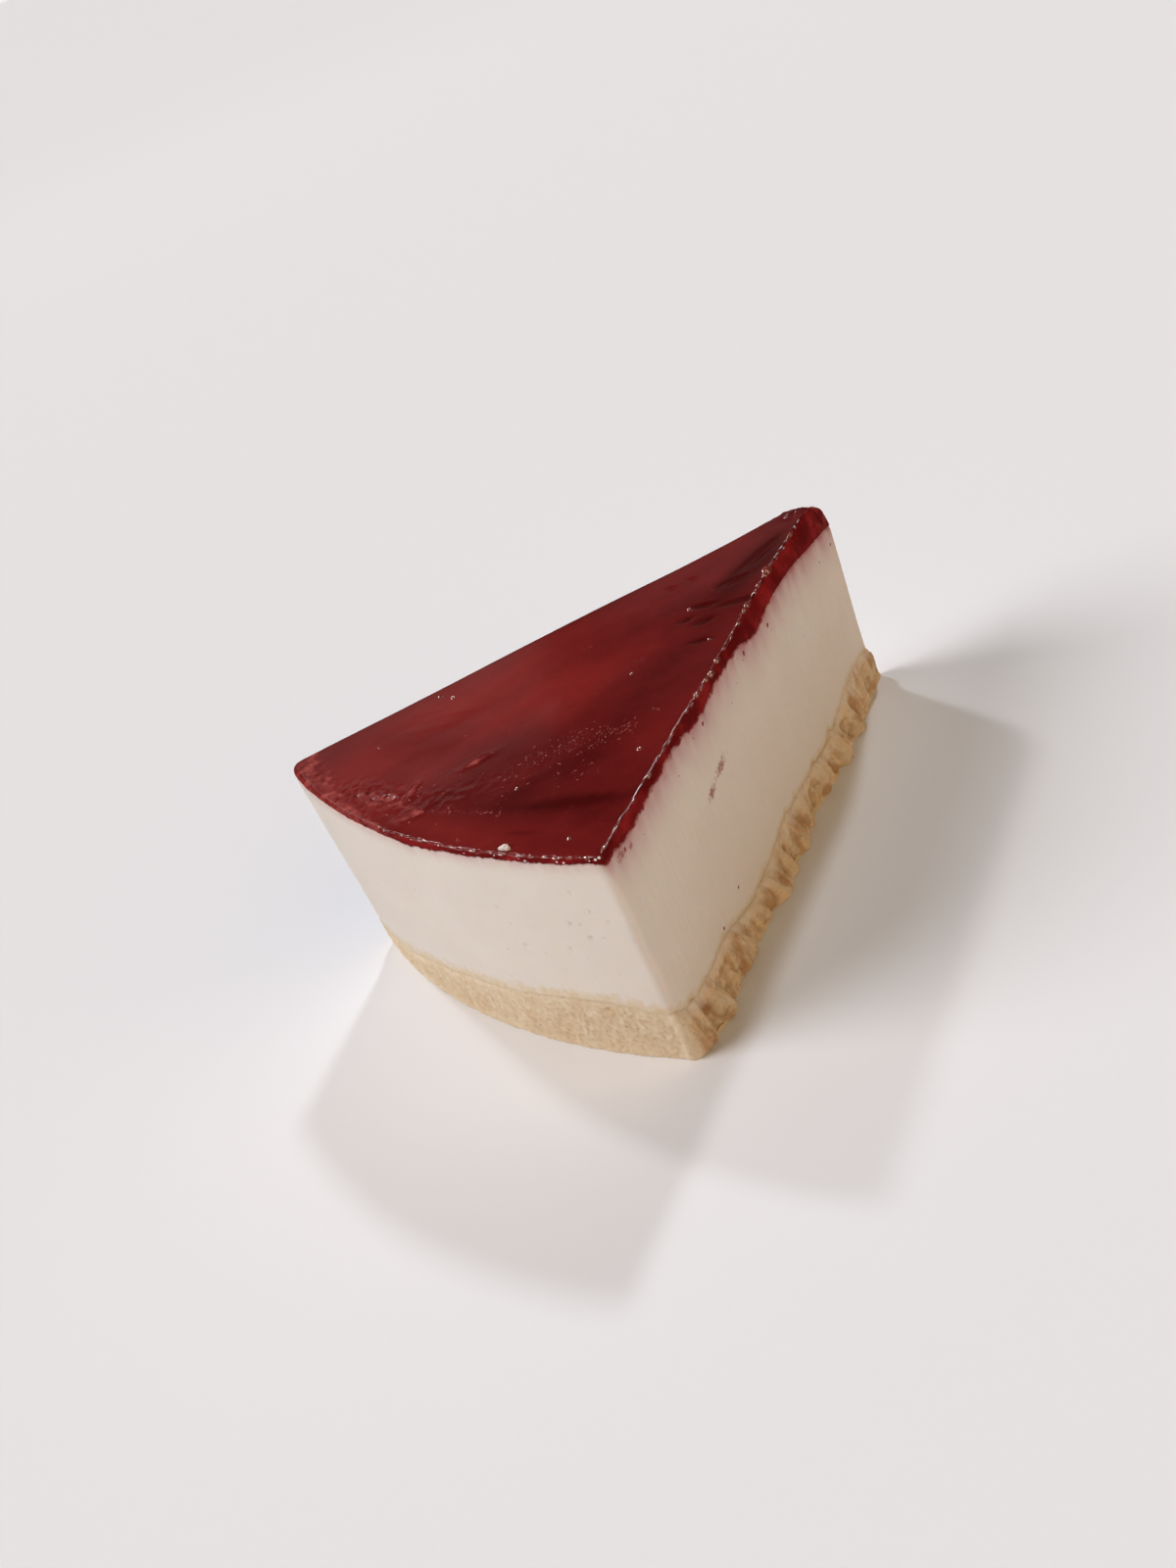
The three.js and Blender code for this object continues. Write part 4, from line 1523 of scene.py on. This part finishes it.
@dataclass
class SmallPieces:
    """The small things on the slice: the jelly's beaded edge, bubbles, specks, a stray crumb, and pale beads
    on the jelly's lip that are painted glints.
    """

    form: SliceForm
    jelly: bpy.types.Object
    filling: bpy.types.Object
    seed: int = 21
    # How far off the slice a search for its surface starts.
    start_off: float = 10 * MM
    # How far in from its side the top is sure to be flat, at most, and as a share of the way from the tip.
    edge_reach: float = 5 * MM
    edge_share: float = 0.25
    # The beaded stretch of the shown cut, from the cake's centre, and of the rim, in degrees.
    beaded_cut: tuple[float, float] = (13 * MM, 115 * MM)
    beaded_rim: tuple[float, float] = (-2.5, 20.3)
    # Length and width of the small beads, and from one to the next, with a bead's full length as 1.
    bead_lengths: tuple[float, float] = (0.3 * MM, 1.5 * MM)
    bead_widths: tuple[float, float] = (0.09 * MM, 0.28 * MM)
    bead_steps: tuple[float, float] = (0.95, 1.65)
    rim_bead_lengths: tuple[float, float] = (0.2 * MM, 2.0 * MM)
    rim_bead_rarity: int = 2
    rim_bead_widths: tuple[float, float] = (0.07 * MM, 0.2 * MM)
    rim_bead_steps: tuple[float, float] = (1.0, 2.4)
    bead_tilt: float = 0.8
    # How far the beads stray outwards.
    bead_strays: tuple[float, float] = (-0.2 * MM, 0.15 * MM)
    rim_bead_strays: tuple[float, float] = (-0.1 * MM, 0.25 * MM)
    # How far they are sunk on the cut, and stand up at the rim, with a bead's width as 1.
    bead_sunk: float = 0.3
    rim_bead_rises: tuple[float, float] = (-0.5, 0.1)
    bubble_flatness: float = 0.6
    bubble_sunk: float = 0.2
    # How far the bloom's specks scatter, with a cluster's length and width as 1.
    bloom_spread: float = 0.3
    bloom_radii: tuple[float, float] = (0.035 * MM, 0.165 * MM)
    bloom_rarity: int = 4
    bloom_stretch: tuple[float, float] = (1, 3)
    bloom_flatness: float = 0.35
    # Specks on each cut, the height of the highest, and how fast they get rarer below, in mm.
    specks_on_cut: int = 22
    speck_top: float = 41.5
    speck_fall: float = 4.0
    # How far from the cake's centre the specks are, and their radii, in mm.
    speck_places: tuple[float, float] = (8, 112)
    speck_radii: tuple[float, float] = (0.07, 0.23)
    speck_rarity: int = 3
    speck_stretch: tuple[float, float] = (0.9, 1.5)
    speck_flatness: float = 0.15
    # Length and height of the bubbles at the rim, and width and height of the stray crumb's lumps,
    # with the radius as 1.
    pearl_shape: tuple[float, float] = (1.15, 0.7)
    crumb_shape: tuple[float, float] = (0.75, 0.85)
    crumb_lift: float = 0.2
    crumb_facet: float = 0.12 * MM
    # Large beads of the shown edge: distance from the cake's centre, length and width, in mm.
    large_beads: tuple[tuple[float, float, float], ...] = (
        (31.5, 1.2, 0.85), (33.2, 0.8, 0.5), (36.8, 0.7, 0.45), (43.8, 1.0, 0.55), (45.5, 0.6, 0.4),
        (62.1, 1.0, 0.5), (66.4, 1.0, 0.55), (68.2, 0.7, 0.4), (72.8, 0.9, 0.5), (96.0, 0.7, 0.42),
        (18.0, 0.8, 0.4), (114.6, 0.5, 0.35),
    )
    # The same at the rim: degrees from the slice's middle, length and width.
    large_rim_beads: tuple[tuple[float, float, float], ...] = (
        (19.7, 0.4, 0.4), (13.6, 0.3, 0.3), (17.0, 0.8, 0.28), (-1.6, 0.8, 0.25), (3.0, 1.2, 0.25),
    )
    # Bubbles in the top: x, y and radius in millimetres.
    bubbles: tuple[tuple[float, float, float], ...] = (
        (-24.9, -24.1, 0.55), (-28.3, -24.5, 0.5), (-26.9, -41.1, 0.35), (32.6, -49.6, 0.5),
        (3.0, 12.6, 0.55), (14.5, 5.0, 0.35), (7.3, -8.1, 0.5), (12.5, -42.3, 0.45), (26.5, -26.6, 0.6),
    )
    # Clusters of fine pale specks on the top, and how many each has.
    bloom: tuple[tuple[Patch, int], ...] = (
        (Patch(12.7, -28.7, 11, 7, 60), 150), (Patch(18.0, -24.3, 9, 6, 60), 100),
        (Patch(19.9, -35.9, 8, 7, 40), 40), (Patch(9.0, -34.8, 9, 7, 60), 60),
        (Patch(4.0, -42.0, 26, 16, 20), 90), (Patch(9.2, -50.1, 18.5, 0.7, 16), 60),
        (Patch(15.0, -48.9, 5.4, 0.4, -58), 14), (Patch(12.8, -56.4, 2.7, 0.4, -42), 8),
        (Patch(21.2, -16.2, 2.7, 0.3, 0), 10), (Patch(-6, -52, 16, 7, 0), 60),
    )
    # Specks on the shown cut: distance from the cake's centre, height and radius in millimetres.
    cut_specks: tuple[tuple[float, float, float], ...] = (
        (41.3, 37.9, 0.4), (53.2, 39.4, 0.35), (4.1, 33.7, 0.3), (75.4, 39.5, 0.4), (82.3, 10.1, 0.25),
        (91.5, 8.6, 0.3), (110.4, 40.2, 0.3),
    )
    # Bubbles on the filling at the rim, and, from 42.9 mm up, pale beads on the jelly's lip that stand for
    # its glints as painted highlights: degrees from the slice's middle, height and radius in millimetres.
    rim_bubbles_and_glints: tuple[tuple[float, float, float], ...] = (
        (3.9, 33.3, 0.24), (6.5, 31.2, 0.24), (7.1, 21.9, 0.22), (17.7, 32.9, 0.24), (17.9, 27.2, 0.22),
        (-2.0, 30.5, 0.22), (-8.5, 27.0, 0.2), (13.6, 43.5, 0.14), (14.1, 43.0, 0.18), (17.0, 43.0, 0.16),
        (17.6, 42.9, 0.18), (17.3, 43.9, 0.14), (19.6, 43.9, 0.22), (20.4, 43.5, 0.2), (20.8, 43.9, 0.22),
        (19.9, 43.3, 0.14), (5.2, 43.9, 0.14), (11.2, 43.6, 0.12), (8.0, 43.2, 0.1), (2.0, 43.8, 0.1),
    )
    # Lumps of the stray crumb on the top: x, y and radius in millimetres.
    crumb_lumps: tuple[tuple[float, float, float], ...] = (
        (23.5, -55.4, 0.75), (22.8, -55.7, 0.45), (24.1, -55.3, 0.5), (23.3, -55.0, 0.5),
    )

    def build(self) -> None:
        """Models every small piece and dresses it."""
        # Beads this small gleam less in a render than real ones, so they bend light more than jelly.
        wet = RaspberryGel(deep="#641818", bright="#a04a44", shine=0.08, bend=1.84, specular=1.0)
        wet_gel = wet.material()
        # Pale cream for the stray crumb and the rim's bubbles, and for the pale beads that are painted glints
        # on the jelly's lip.
        cream = PlainFinish("cream_crumb_and_painted_glints", "#f6ecec", 0.45).material()
        bloom = PlainFinish("dried_jelly_bloom", "#94433e", 0.4).material()
        fruit = PlainFinish("smeared_raspberry", "#8f3b3c", 0.45).material()
        draw = np.random.default_rng(self.seed)
        self.hand_over(self.beaded_edge(draw), wet_gel, "raspberry_gel")
        self.hand_over(self.top_bubbles(), wet_gel, "raspberry_gel")
        self.hand_over(self.top_bloom(draw), bloom, "raspberry_gel")
        self.hand_over(self.specks(draw), fruit, "raspberry_gel")
        # Pale bubbles on the filling, and pale beads on the jelly's lip that are painted glints.
        self.hand_over(self.rim_pearls_and_glints(), cream, "cream_cheese")
        self.hand_over(self.cream_crumb(), cream, "cream_cheese")

    def hand_over(self, piece: bpy.types.Object, material: bpy.types.Material, slot: str) -> None:
        """Dresses a small piece and lets it ride with the slice.

        Args:
            piece: The piece.
            material: Its finish.
            slot: The record's name for what it is made of; not used.
        """
        piece.data.materials.clear()
        piece.data.materials.append(material)
        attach(piece, BODY)
        log.info("%s: %d faces", piece.name, len(piece.data.polygons))

    def edge_of_top(self, tree: BVHTree, start: Vector, inward: Vector, reach: float) -> Vector:
        """Finds where the flat top begins, going inwards from the side of the slice.

        Args:
            tree: The jelly's search tree.
            start: A point above the side.
            inward: The level direction into the slice.
            reach: How far in the top is sure to be flat.

        Returns:
            The point on the top's edge.
        """
        down = Vector((0, 0, -1))
        flat = tree.ray_cast(start + inward * reach, down)[0].z
        step, rounding = 0.1 * MM, 0.2 * MM
        for i in range(int(reach / step)):
            place = tree.ray_cast(start + inward * i * step, down)[0]
            if place is not None and place.z > flat - rounding:
                return place
        return start

    def beaded_edge(self, draw: np.random.Generator) -> bpy.types.Object:
        """Models the beads that the wet jelly drew into along the edges of the top.

        Args:
            draw: The source of chance.

        Returns:
            The beads as one piece.
        """
        tree = search_tree(self.jelly)
        above = self.form.height + self.start_off
        placements = []
        outward = self.form.outward(Cut.SHOWN)
        line = self.form.on_cut(Cut.SHOWN, 1, 0) - self.form.on_cut(Cut.SHOWN, 0, 0)
        beads = [(along * MM, length * MM, width * MM) for along, length, width in self.large_beads]
        along, last = self.beaded_cut
        while along < last:
            length, width = draw.uniform(*self.bead_lengths), draw.uniform(*self.bead_widths)
            beads.append((along, length, width))
            along += (length + 2 * width) * draw.uniform(*self.bead_steps)
        for along, length, width in beads:
            # Near the tip the slice is narrow, so the flat of the top is looked for less far in.
            reach = min(self.edge_reach, self.edge_share * along)
            place = self.edge_of_top(tree, self.form.on_cut(Cut.SHOWN, along, above), -outward, reach)
            up = (Vector((0, 0, 1)) + self.bead_tilt * outward).normalized()
            shift = outward * draw.uniform(*self.bead_strays)
            size = (length / 2 + width, width, width)
            placements.append(seated(place - self.bead_sunk * width * up + shift, up, line, size))
        beads = [(degrees, length * MM, width * MM) for degrees, length, width in self.large_rim_beads]
        degrees, last = self.beaded_rim
        while degrees < last:
            length = rarely_large(draw, self.rim_bead_lengths, self.rim_bead_rarity)
            width = draw.uniform(*self.rim_bead_widths)
            beads.append((degrees, length, width))
            step = (length + 2 * width) * draw.uniform(*self.rim_bead_steps)
            degrees += math.degrees(step / self.form.rim_radius_high)
        for degrees, length, width in beads:
            turn = math.radians(degrees)
            outward = Vector((math.sin(turn), -math.cos(turn), 0))
            start = self.form.place(self.form.rim_radius_high, turn, above)
            place = self.edge_of_top(tree, start, -outward, self.edge_reach)
            up = (Vector((0, 0, 1)) + self.bead_tilt * outward).normalized()
            line = Vector((math.cos(turn), math.sin(turn), 0))
            place += up * draw.uniform(*self.rim_bead_rises) * width
            place += outward * draw.uniform(*self.rim_bead_strays)
            placements.append(seated(place, up, line, (length / 2 + width, width, width)))
        pattern = lump_pattern(unevenness=0.3, splits=3, part=11)
        return joined_copies("jelly_edge_beads", pattern, placements)

    def on_top(self, tree: BVHTree, x: float, y: float) -> tuple[Vector, Vector]:
        """Finds the surface of the top.

        Args:
            tree: The jelly's search tree.
            x: The place across the slice in millimetres.
            y: The place along the slice in millimetres.

        Returns:
            The point on the surface and the way it faces, both None past the slice's edge.
        """
        above = Vector((x * MM, y * MM, self.form.height + self.start_off))
        place, normal, _, _ = tree.ray_cast(above, Vector((0, 0, -1)))
        return place, normal

    def top_bubbles(self) -> bpy.types.Object:
        """Models the bubbles that set in the top.

        Returns:
            The bubbles as one piece.
        """
        tree = search_tree(self.jelly)
        placements = []
        for x, y, radius in self.bubbles:
            place, normal = self.on_top(tree, x, y)
            size = (radius * MM, radius * MM, self.bubble_flatness * radius * MM)
            middle = place - normal * self.bubble_sunk * radius * MM
            placements.append(seated(middle, normal, Vector((1, 0, 0)), size))
        pattern = lump_pattern(unevenness=0.05, splits=3, part=0)
        return joined_copies("jelly_bubbles", pattern, placements)

    def top_bloom(self, draw: np.random.Generator) -> bpy.types.Object:
        """Models the fine pale specks and scratches on the top.

        Args:
            draw: The source of chance.

        Returns:
            The specks as one piece.
        """
        tree = search_tree(self.jelly)
        placements = []
        for patch, count in self.bloom:
            angle = math.radians(patch.turn)
            for _ in range(count):
                along, across = draw.normal(0, self.bloom_spread, 2) * (patch.length, patch.width)
                x = patch.x + along * math.cos(angle) - across * math.sin(angle)
                y = patch.y + along * math.sin(angle) + across * math.cos(angle)
                radius = rarely_large(draw, self.bloom_radii, self.bloom_rarity)
                stretch = draw.uniform(*self.bloom_stretch)
                turn = draw.uniform(0, math.tau)
                place, normal = self.on_top(tree, x, y)
                if place is not None:
                    line = Vector((math.cos(turn), math.sin(turn), 0))
                    size = (radius * stretch, radius, self.bloom_flatness * radius)
                    placements.append(seated(place, normal, line, size))
        pattern = lump_pattern(unevenness=0.4, splits=2, part=12)
        return joined_copies("jelly_bloom", pattern, placements)

    def specks(self, draw: np.random.Generator) -> bpy.types.Object:
        """Models the specks and smears of raspberry on the cuts.

        Args:
            draw: The source of chance.

        Returns:
            The specks as one piece.
        """
        tree = search_tree(self.filling)
        spots = [(Cut.SHOWN, *speck) for speck in self.cut_specks]
        for cut in Cut:
            for _ in range(self.specks_on_cut):
                height = self.speck_top - draw.exponential(self.speck_fall)
                along = draw.uniform(*self.speck_places)
                radius = rarely_large(draw, self.speck_radii, self.speck_rarity)
                spots.append((cut, along, height, radius))
        placements = []
        for cut, along, height, radius in spots:
            outward = self.form.outward(cut)
            start = self.form.on_cut(cut, along * MM, height * MM) + outward * self.start_off
            place, normal, _, _ = tree.ray_cast(start, -outward)
            if place is not None:
                length = radius * draw.uniform(*self.speck_stretch)
                size = (length * MM, radius * MM, self.speck_flatness * radius * MM)
                placements.append(seated(place, normal, Vector((0.2, 0, 1)), size))
        pattern = lump_pattern(unevenness=0.5, splits=3, part=13)
        return joined_copies("raspberry_specks", pattern, placements)

    def rim_pearls_and_glints(self) -> bpy.types.Object:
        """Models the tiny pale bubbles on the filling at the rim, and the pale beads on the jelly's lip
        there, which are painted glints.

        Returns:
            The bubbles as one piece.
        """
        trees = (search_tree(self.filling), search_tree(self.jelly))
        length_share, height_share = self.pearl_shape
        placements = []
        for degrees, height, radius in self.rim_bubbles_and_glints:
            middle = self.form.on_rim(degrees, height * MM)
            place, normal, _, _ = min((tree.find_nearest(middle) for tree in trees), key=lambda hit: hit[3])
            size = (length_share * radius * MM, radius * MM, height_share * radius * MM)
            placements.append(seated(place, normal, Vector((1, 0, 0)), size))
        pattern = lump_pattern(unevenness=0.1, splits=3, part=14)
        return joined_copies("cream_bubbles_and_painted_glints", pattern, placements)

    def cream_crumb(self) -> bpy.types.Object:
        """Models the stray crumb of filling that lies on the jelly near the rim.

        Returns:
            The crumb.
        """
        tree = search_tree(self.jelly)
        width, height = self.crumb_shape
        placements = []
        for x, y, radius in self.crumb_lumps:
            place, normal = self.on_top(tree, x, y)
            size = (radius * MM, width * radius * MM, height * radius * MM)
            middle = place + normal * self.crumb_lift * radius * MM
            placements.append(seated(middle, normal, Vector((1, 0.3, 0)), size))
        pattern = lump_pattern(unevenness=0.5, splits=3, part=15)
        crumb = joined_copies("cream_crumb", pattern, placements)
        apply_modifier(crumb, "REMESH", mode="VOXEL", voxel_size=self.crumb_facet, use_smooth_shade=True)
        return crumb


# The studio


def direction(azimuth: float, elevation: float) -> Vector:
    """Gives the direction from the slice to something round it.

    Args:
        azimuth: Degrees round the slice: 0 is off the rim and 90 off the side of the shown cut.
        elevation: Degrees above the floor.

    Returns:
        The direction, one metre long.
    """
    turn, rise = math.radians(azimuth), math.radians(elevation)
    return Vector((math.sin(turn) * math.cos(rise), -math.cos(turn) * math.cos(rise), math.sin(rise)))


@dataclass(frozen=True)
class SunLight:
    """A far light that fills a disc of the sky: soft if wide, and bright in reflections if narrow."""

    name: str
    azimuth: float
    elevation: float
    width: float
    strength: float
    colour: str

    def build(self) -> None:
        """Adds the light."""
        deselect_all()
        towards = direction(self.azimuth, self.elevation)
        bpy.ops.object.light_add(type="SUN", location=towards)
        lamp = bpy.context.object
        lamp.name = self.name
        lamp.rotation_mode = "QUATERNION"
        lamp.rotation_quaternion = towards.to_track_quat("Z", "Y")
        lamp.data.energy = self.strength
        lamp.data.angle = math.radians(self.width)
        lamp.data.color = linear(self.colour)[:3]


@dataclass(frozen=True)
class CardLight:
    """A low dim panel behind the slice, which gives the jelly its soft sheen."""

    name: str
    azimuth: float
    elevation: float
    width: float
    height: float
    power: float
    distance: float = 1.5
    colour: str = "#fff6ee"

    def build(self) -> None:
        """Adds the light, which the camera doesn't see."""
        deselect_all()
        towards = direction(self.azimuth, self.elevation)
        bpy.ops.object.light_add(type="AREA", location=towards * self.distance)
        lamp = bpy.context.object
        lamp.name = self.name
        lamp.rotation_mode = "QUATERNION"
        lamp.rotation_quaternion = towards.to_track_quat("Z", "Y")
        lamp.data.shape = "RECTANGLE"
        lamp.data.size = self.width
        lamp.data.size_y = self.height
        lamp.data.energy = self.power
        lamp.data.color = linear(self.colour)[:3]
        lamp.visible_camera = False


@dataclass
class Studio:
    """The pale floor, the soft lights and the camera at the photograph's viewing angle."""

    floor_size: float = 12.0
    suns: tuple[SunLight, ...] = (
        SunLight("key", -36, 34, 40, 2.38, "#f9f1ed"),
        SunLight("window_left", -149, 43, 5, 0.8, "#ffffff"),
        SunLight("window_back", -100, 43, 5, 0.6, "#ffffff"),
        SunLight("fill", 95, 30, 60, 1.0, "#ffd9a8"),
    )
    cards: tuple[CardLight, ...] = (
        CardLight("sheen_left", -111.5, 24.6, 0.56, 0.175, 0.165),
        CardLight("sheen_back", -137, 23.6, 0.5, 0.15, 0.056),
    )
    backdrop: str = "#f4f3f1"
    gloom: float = 0.03
    camera_azimuth: float = 55.66
    camera_elevation: float = 29.55
    camera_roll: float = 21.77
    camera_distance: float = 326.6 * MM
    camera_aim: tuple[float, float, float] = (-7.16 * MM, -15.48 * MM, 22.1 * MM)
    film_height: float = 36.0
    focal_length: float = 40.64

    def build(self) -> None:
        """Adds the floor, the lights, the world and the camera."""
        self.floor()
        for light in (*self.suns, *self.cards):
            light.build()
        self.world()
        self.camera()
        bpy.context.scene.view_settings.view_transform = "Standard"

    def floor(self) -> None:
        """Adds the floor that the slice stands on."""
        deselect_all()
        bpy.ops.mesh.primitive_plane_add(size=self.floor_size)
        floor = bpy.context.object
        floor.name = "floor"
        floor.data.materials.append(PlainFinish("matt_floor_paint", "#f1f6ff", 0.9, 0.1).material())
        floor.visible_glossy = False
        floor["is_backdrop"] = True

    def world(self) -> None:
        """Makes the backdrop pale to the camera, and nearly dark as a source of light."""
        world = bpy.data.worlds.new("studio")
        world.use_nodes = True
        tree = world.node_tree
        tree.nodes.clear()
        seen = add_node(tree, "ShaderNodeLightPath", out="Is Camera Ray")
        pale = add_node(tree, "ShaderNodeBackground", {"Color": linear(self.backdrop)})
        dark = add_node(
            tree, "ShaderNodeBackground", {"Color": linear(self.backdrop), "Strength": self.gloom}
        )
        both = add_node(tree, "ShaderNodeMixShader", {0: seen, 1: dark, 2: pale})
        add_node(tree, "ShaderNodeOutputWorld", {"Surface": both})
        bpy.context.scene.world = world

    def camera(self) -> None:
        """Adds the camera at the photograph's viewing angle, with its tilt."""
        back = direction(self.camera_azimuth, self.camera_elevation)
        deselect_all()
        bpy.ops.object.camera_add(location=Vector(self.camera_aim) + back * self.camera_distance)
        camera = bpy.context.object
        camera.rotation_mode = "QUATERNION"
        tilt = Quaternion((0, 0, 1), -math.radians(self.camera_roll))
        camera.rotation_quaternion = (-back).to_track_quat("-Z", "Y") @ tilt
        camera.data.sensor_width = self.film_height
        camera.data.lens = self.focal_length
        camera.data.clip_start = 10 * MM
        bpy.context.scene.camera = camera


def main() -> None:
    logging.basicConfig(level=logging.INFO, format="%(name)s: %(message)s")
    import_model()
    for thing in list(bpy.data.objects):
        if thing.name in FACTORY_OBJECTS:
            bpy.data.objects.remove(thing)
    form = SliceForm()
    Studio().build()
    base = BiscuitBase(form).build()
    jelly = RaspberryTop(form).build()
    filling = CreamFilling(form).build(base, jelly)
    SmallPieces(form, jelly, filling).build()


if __name__ == "__main__":
    main()
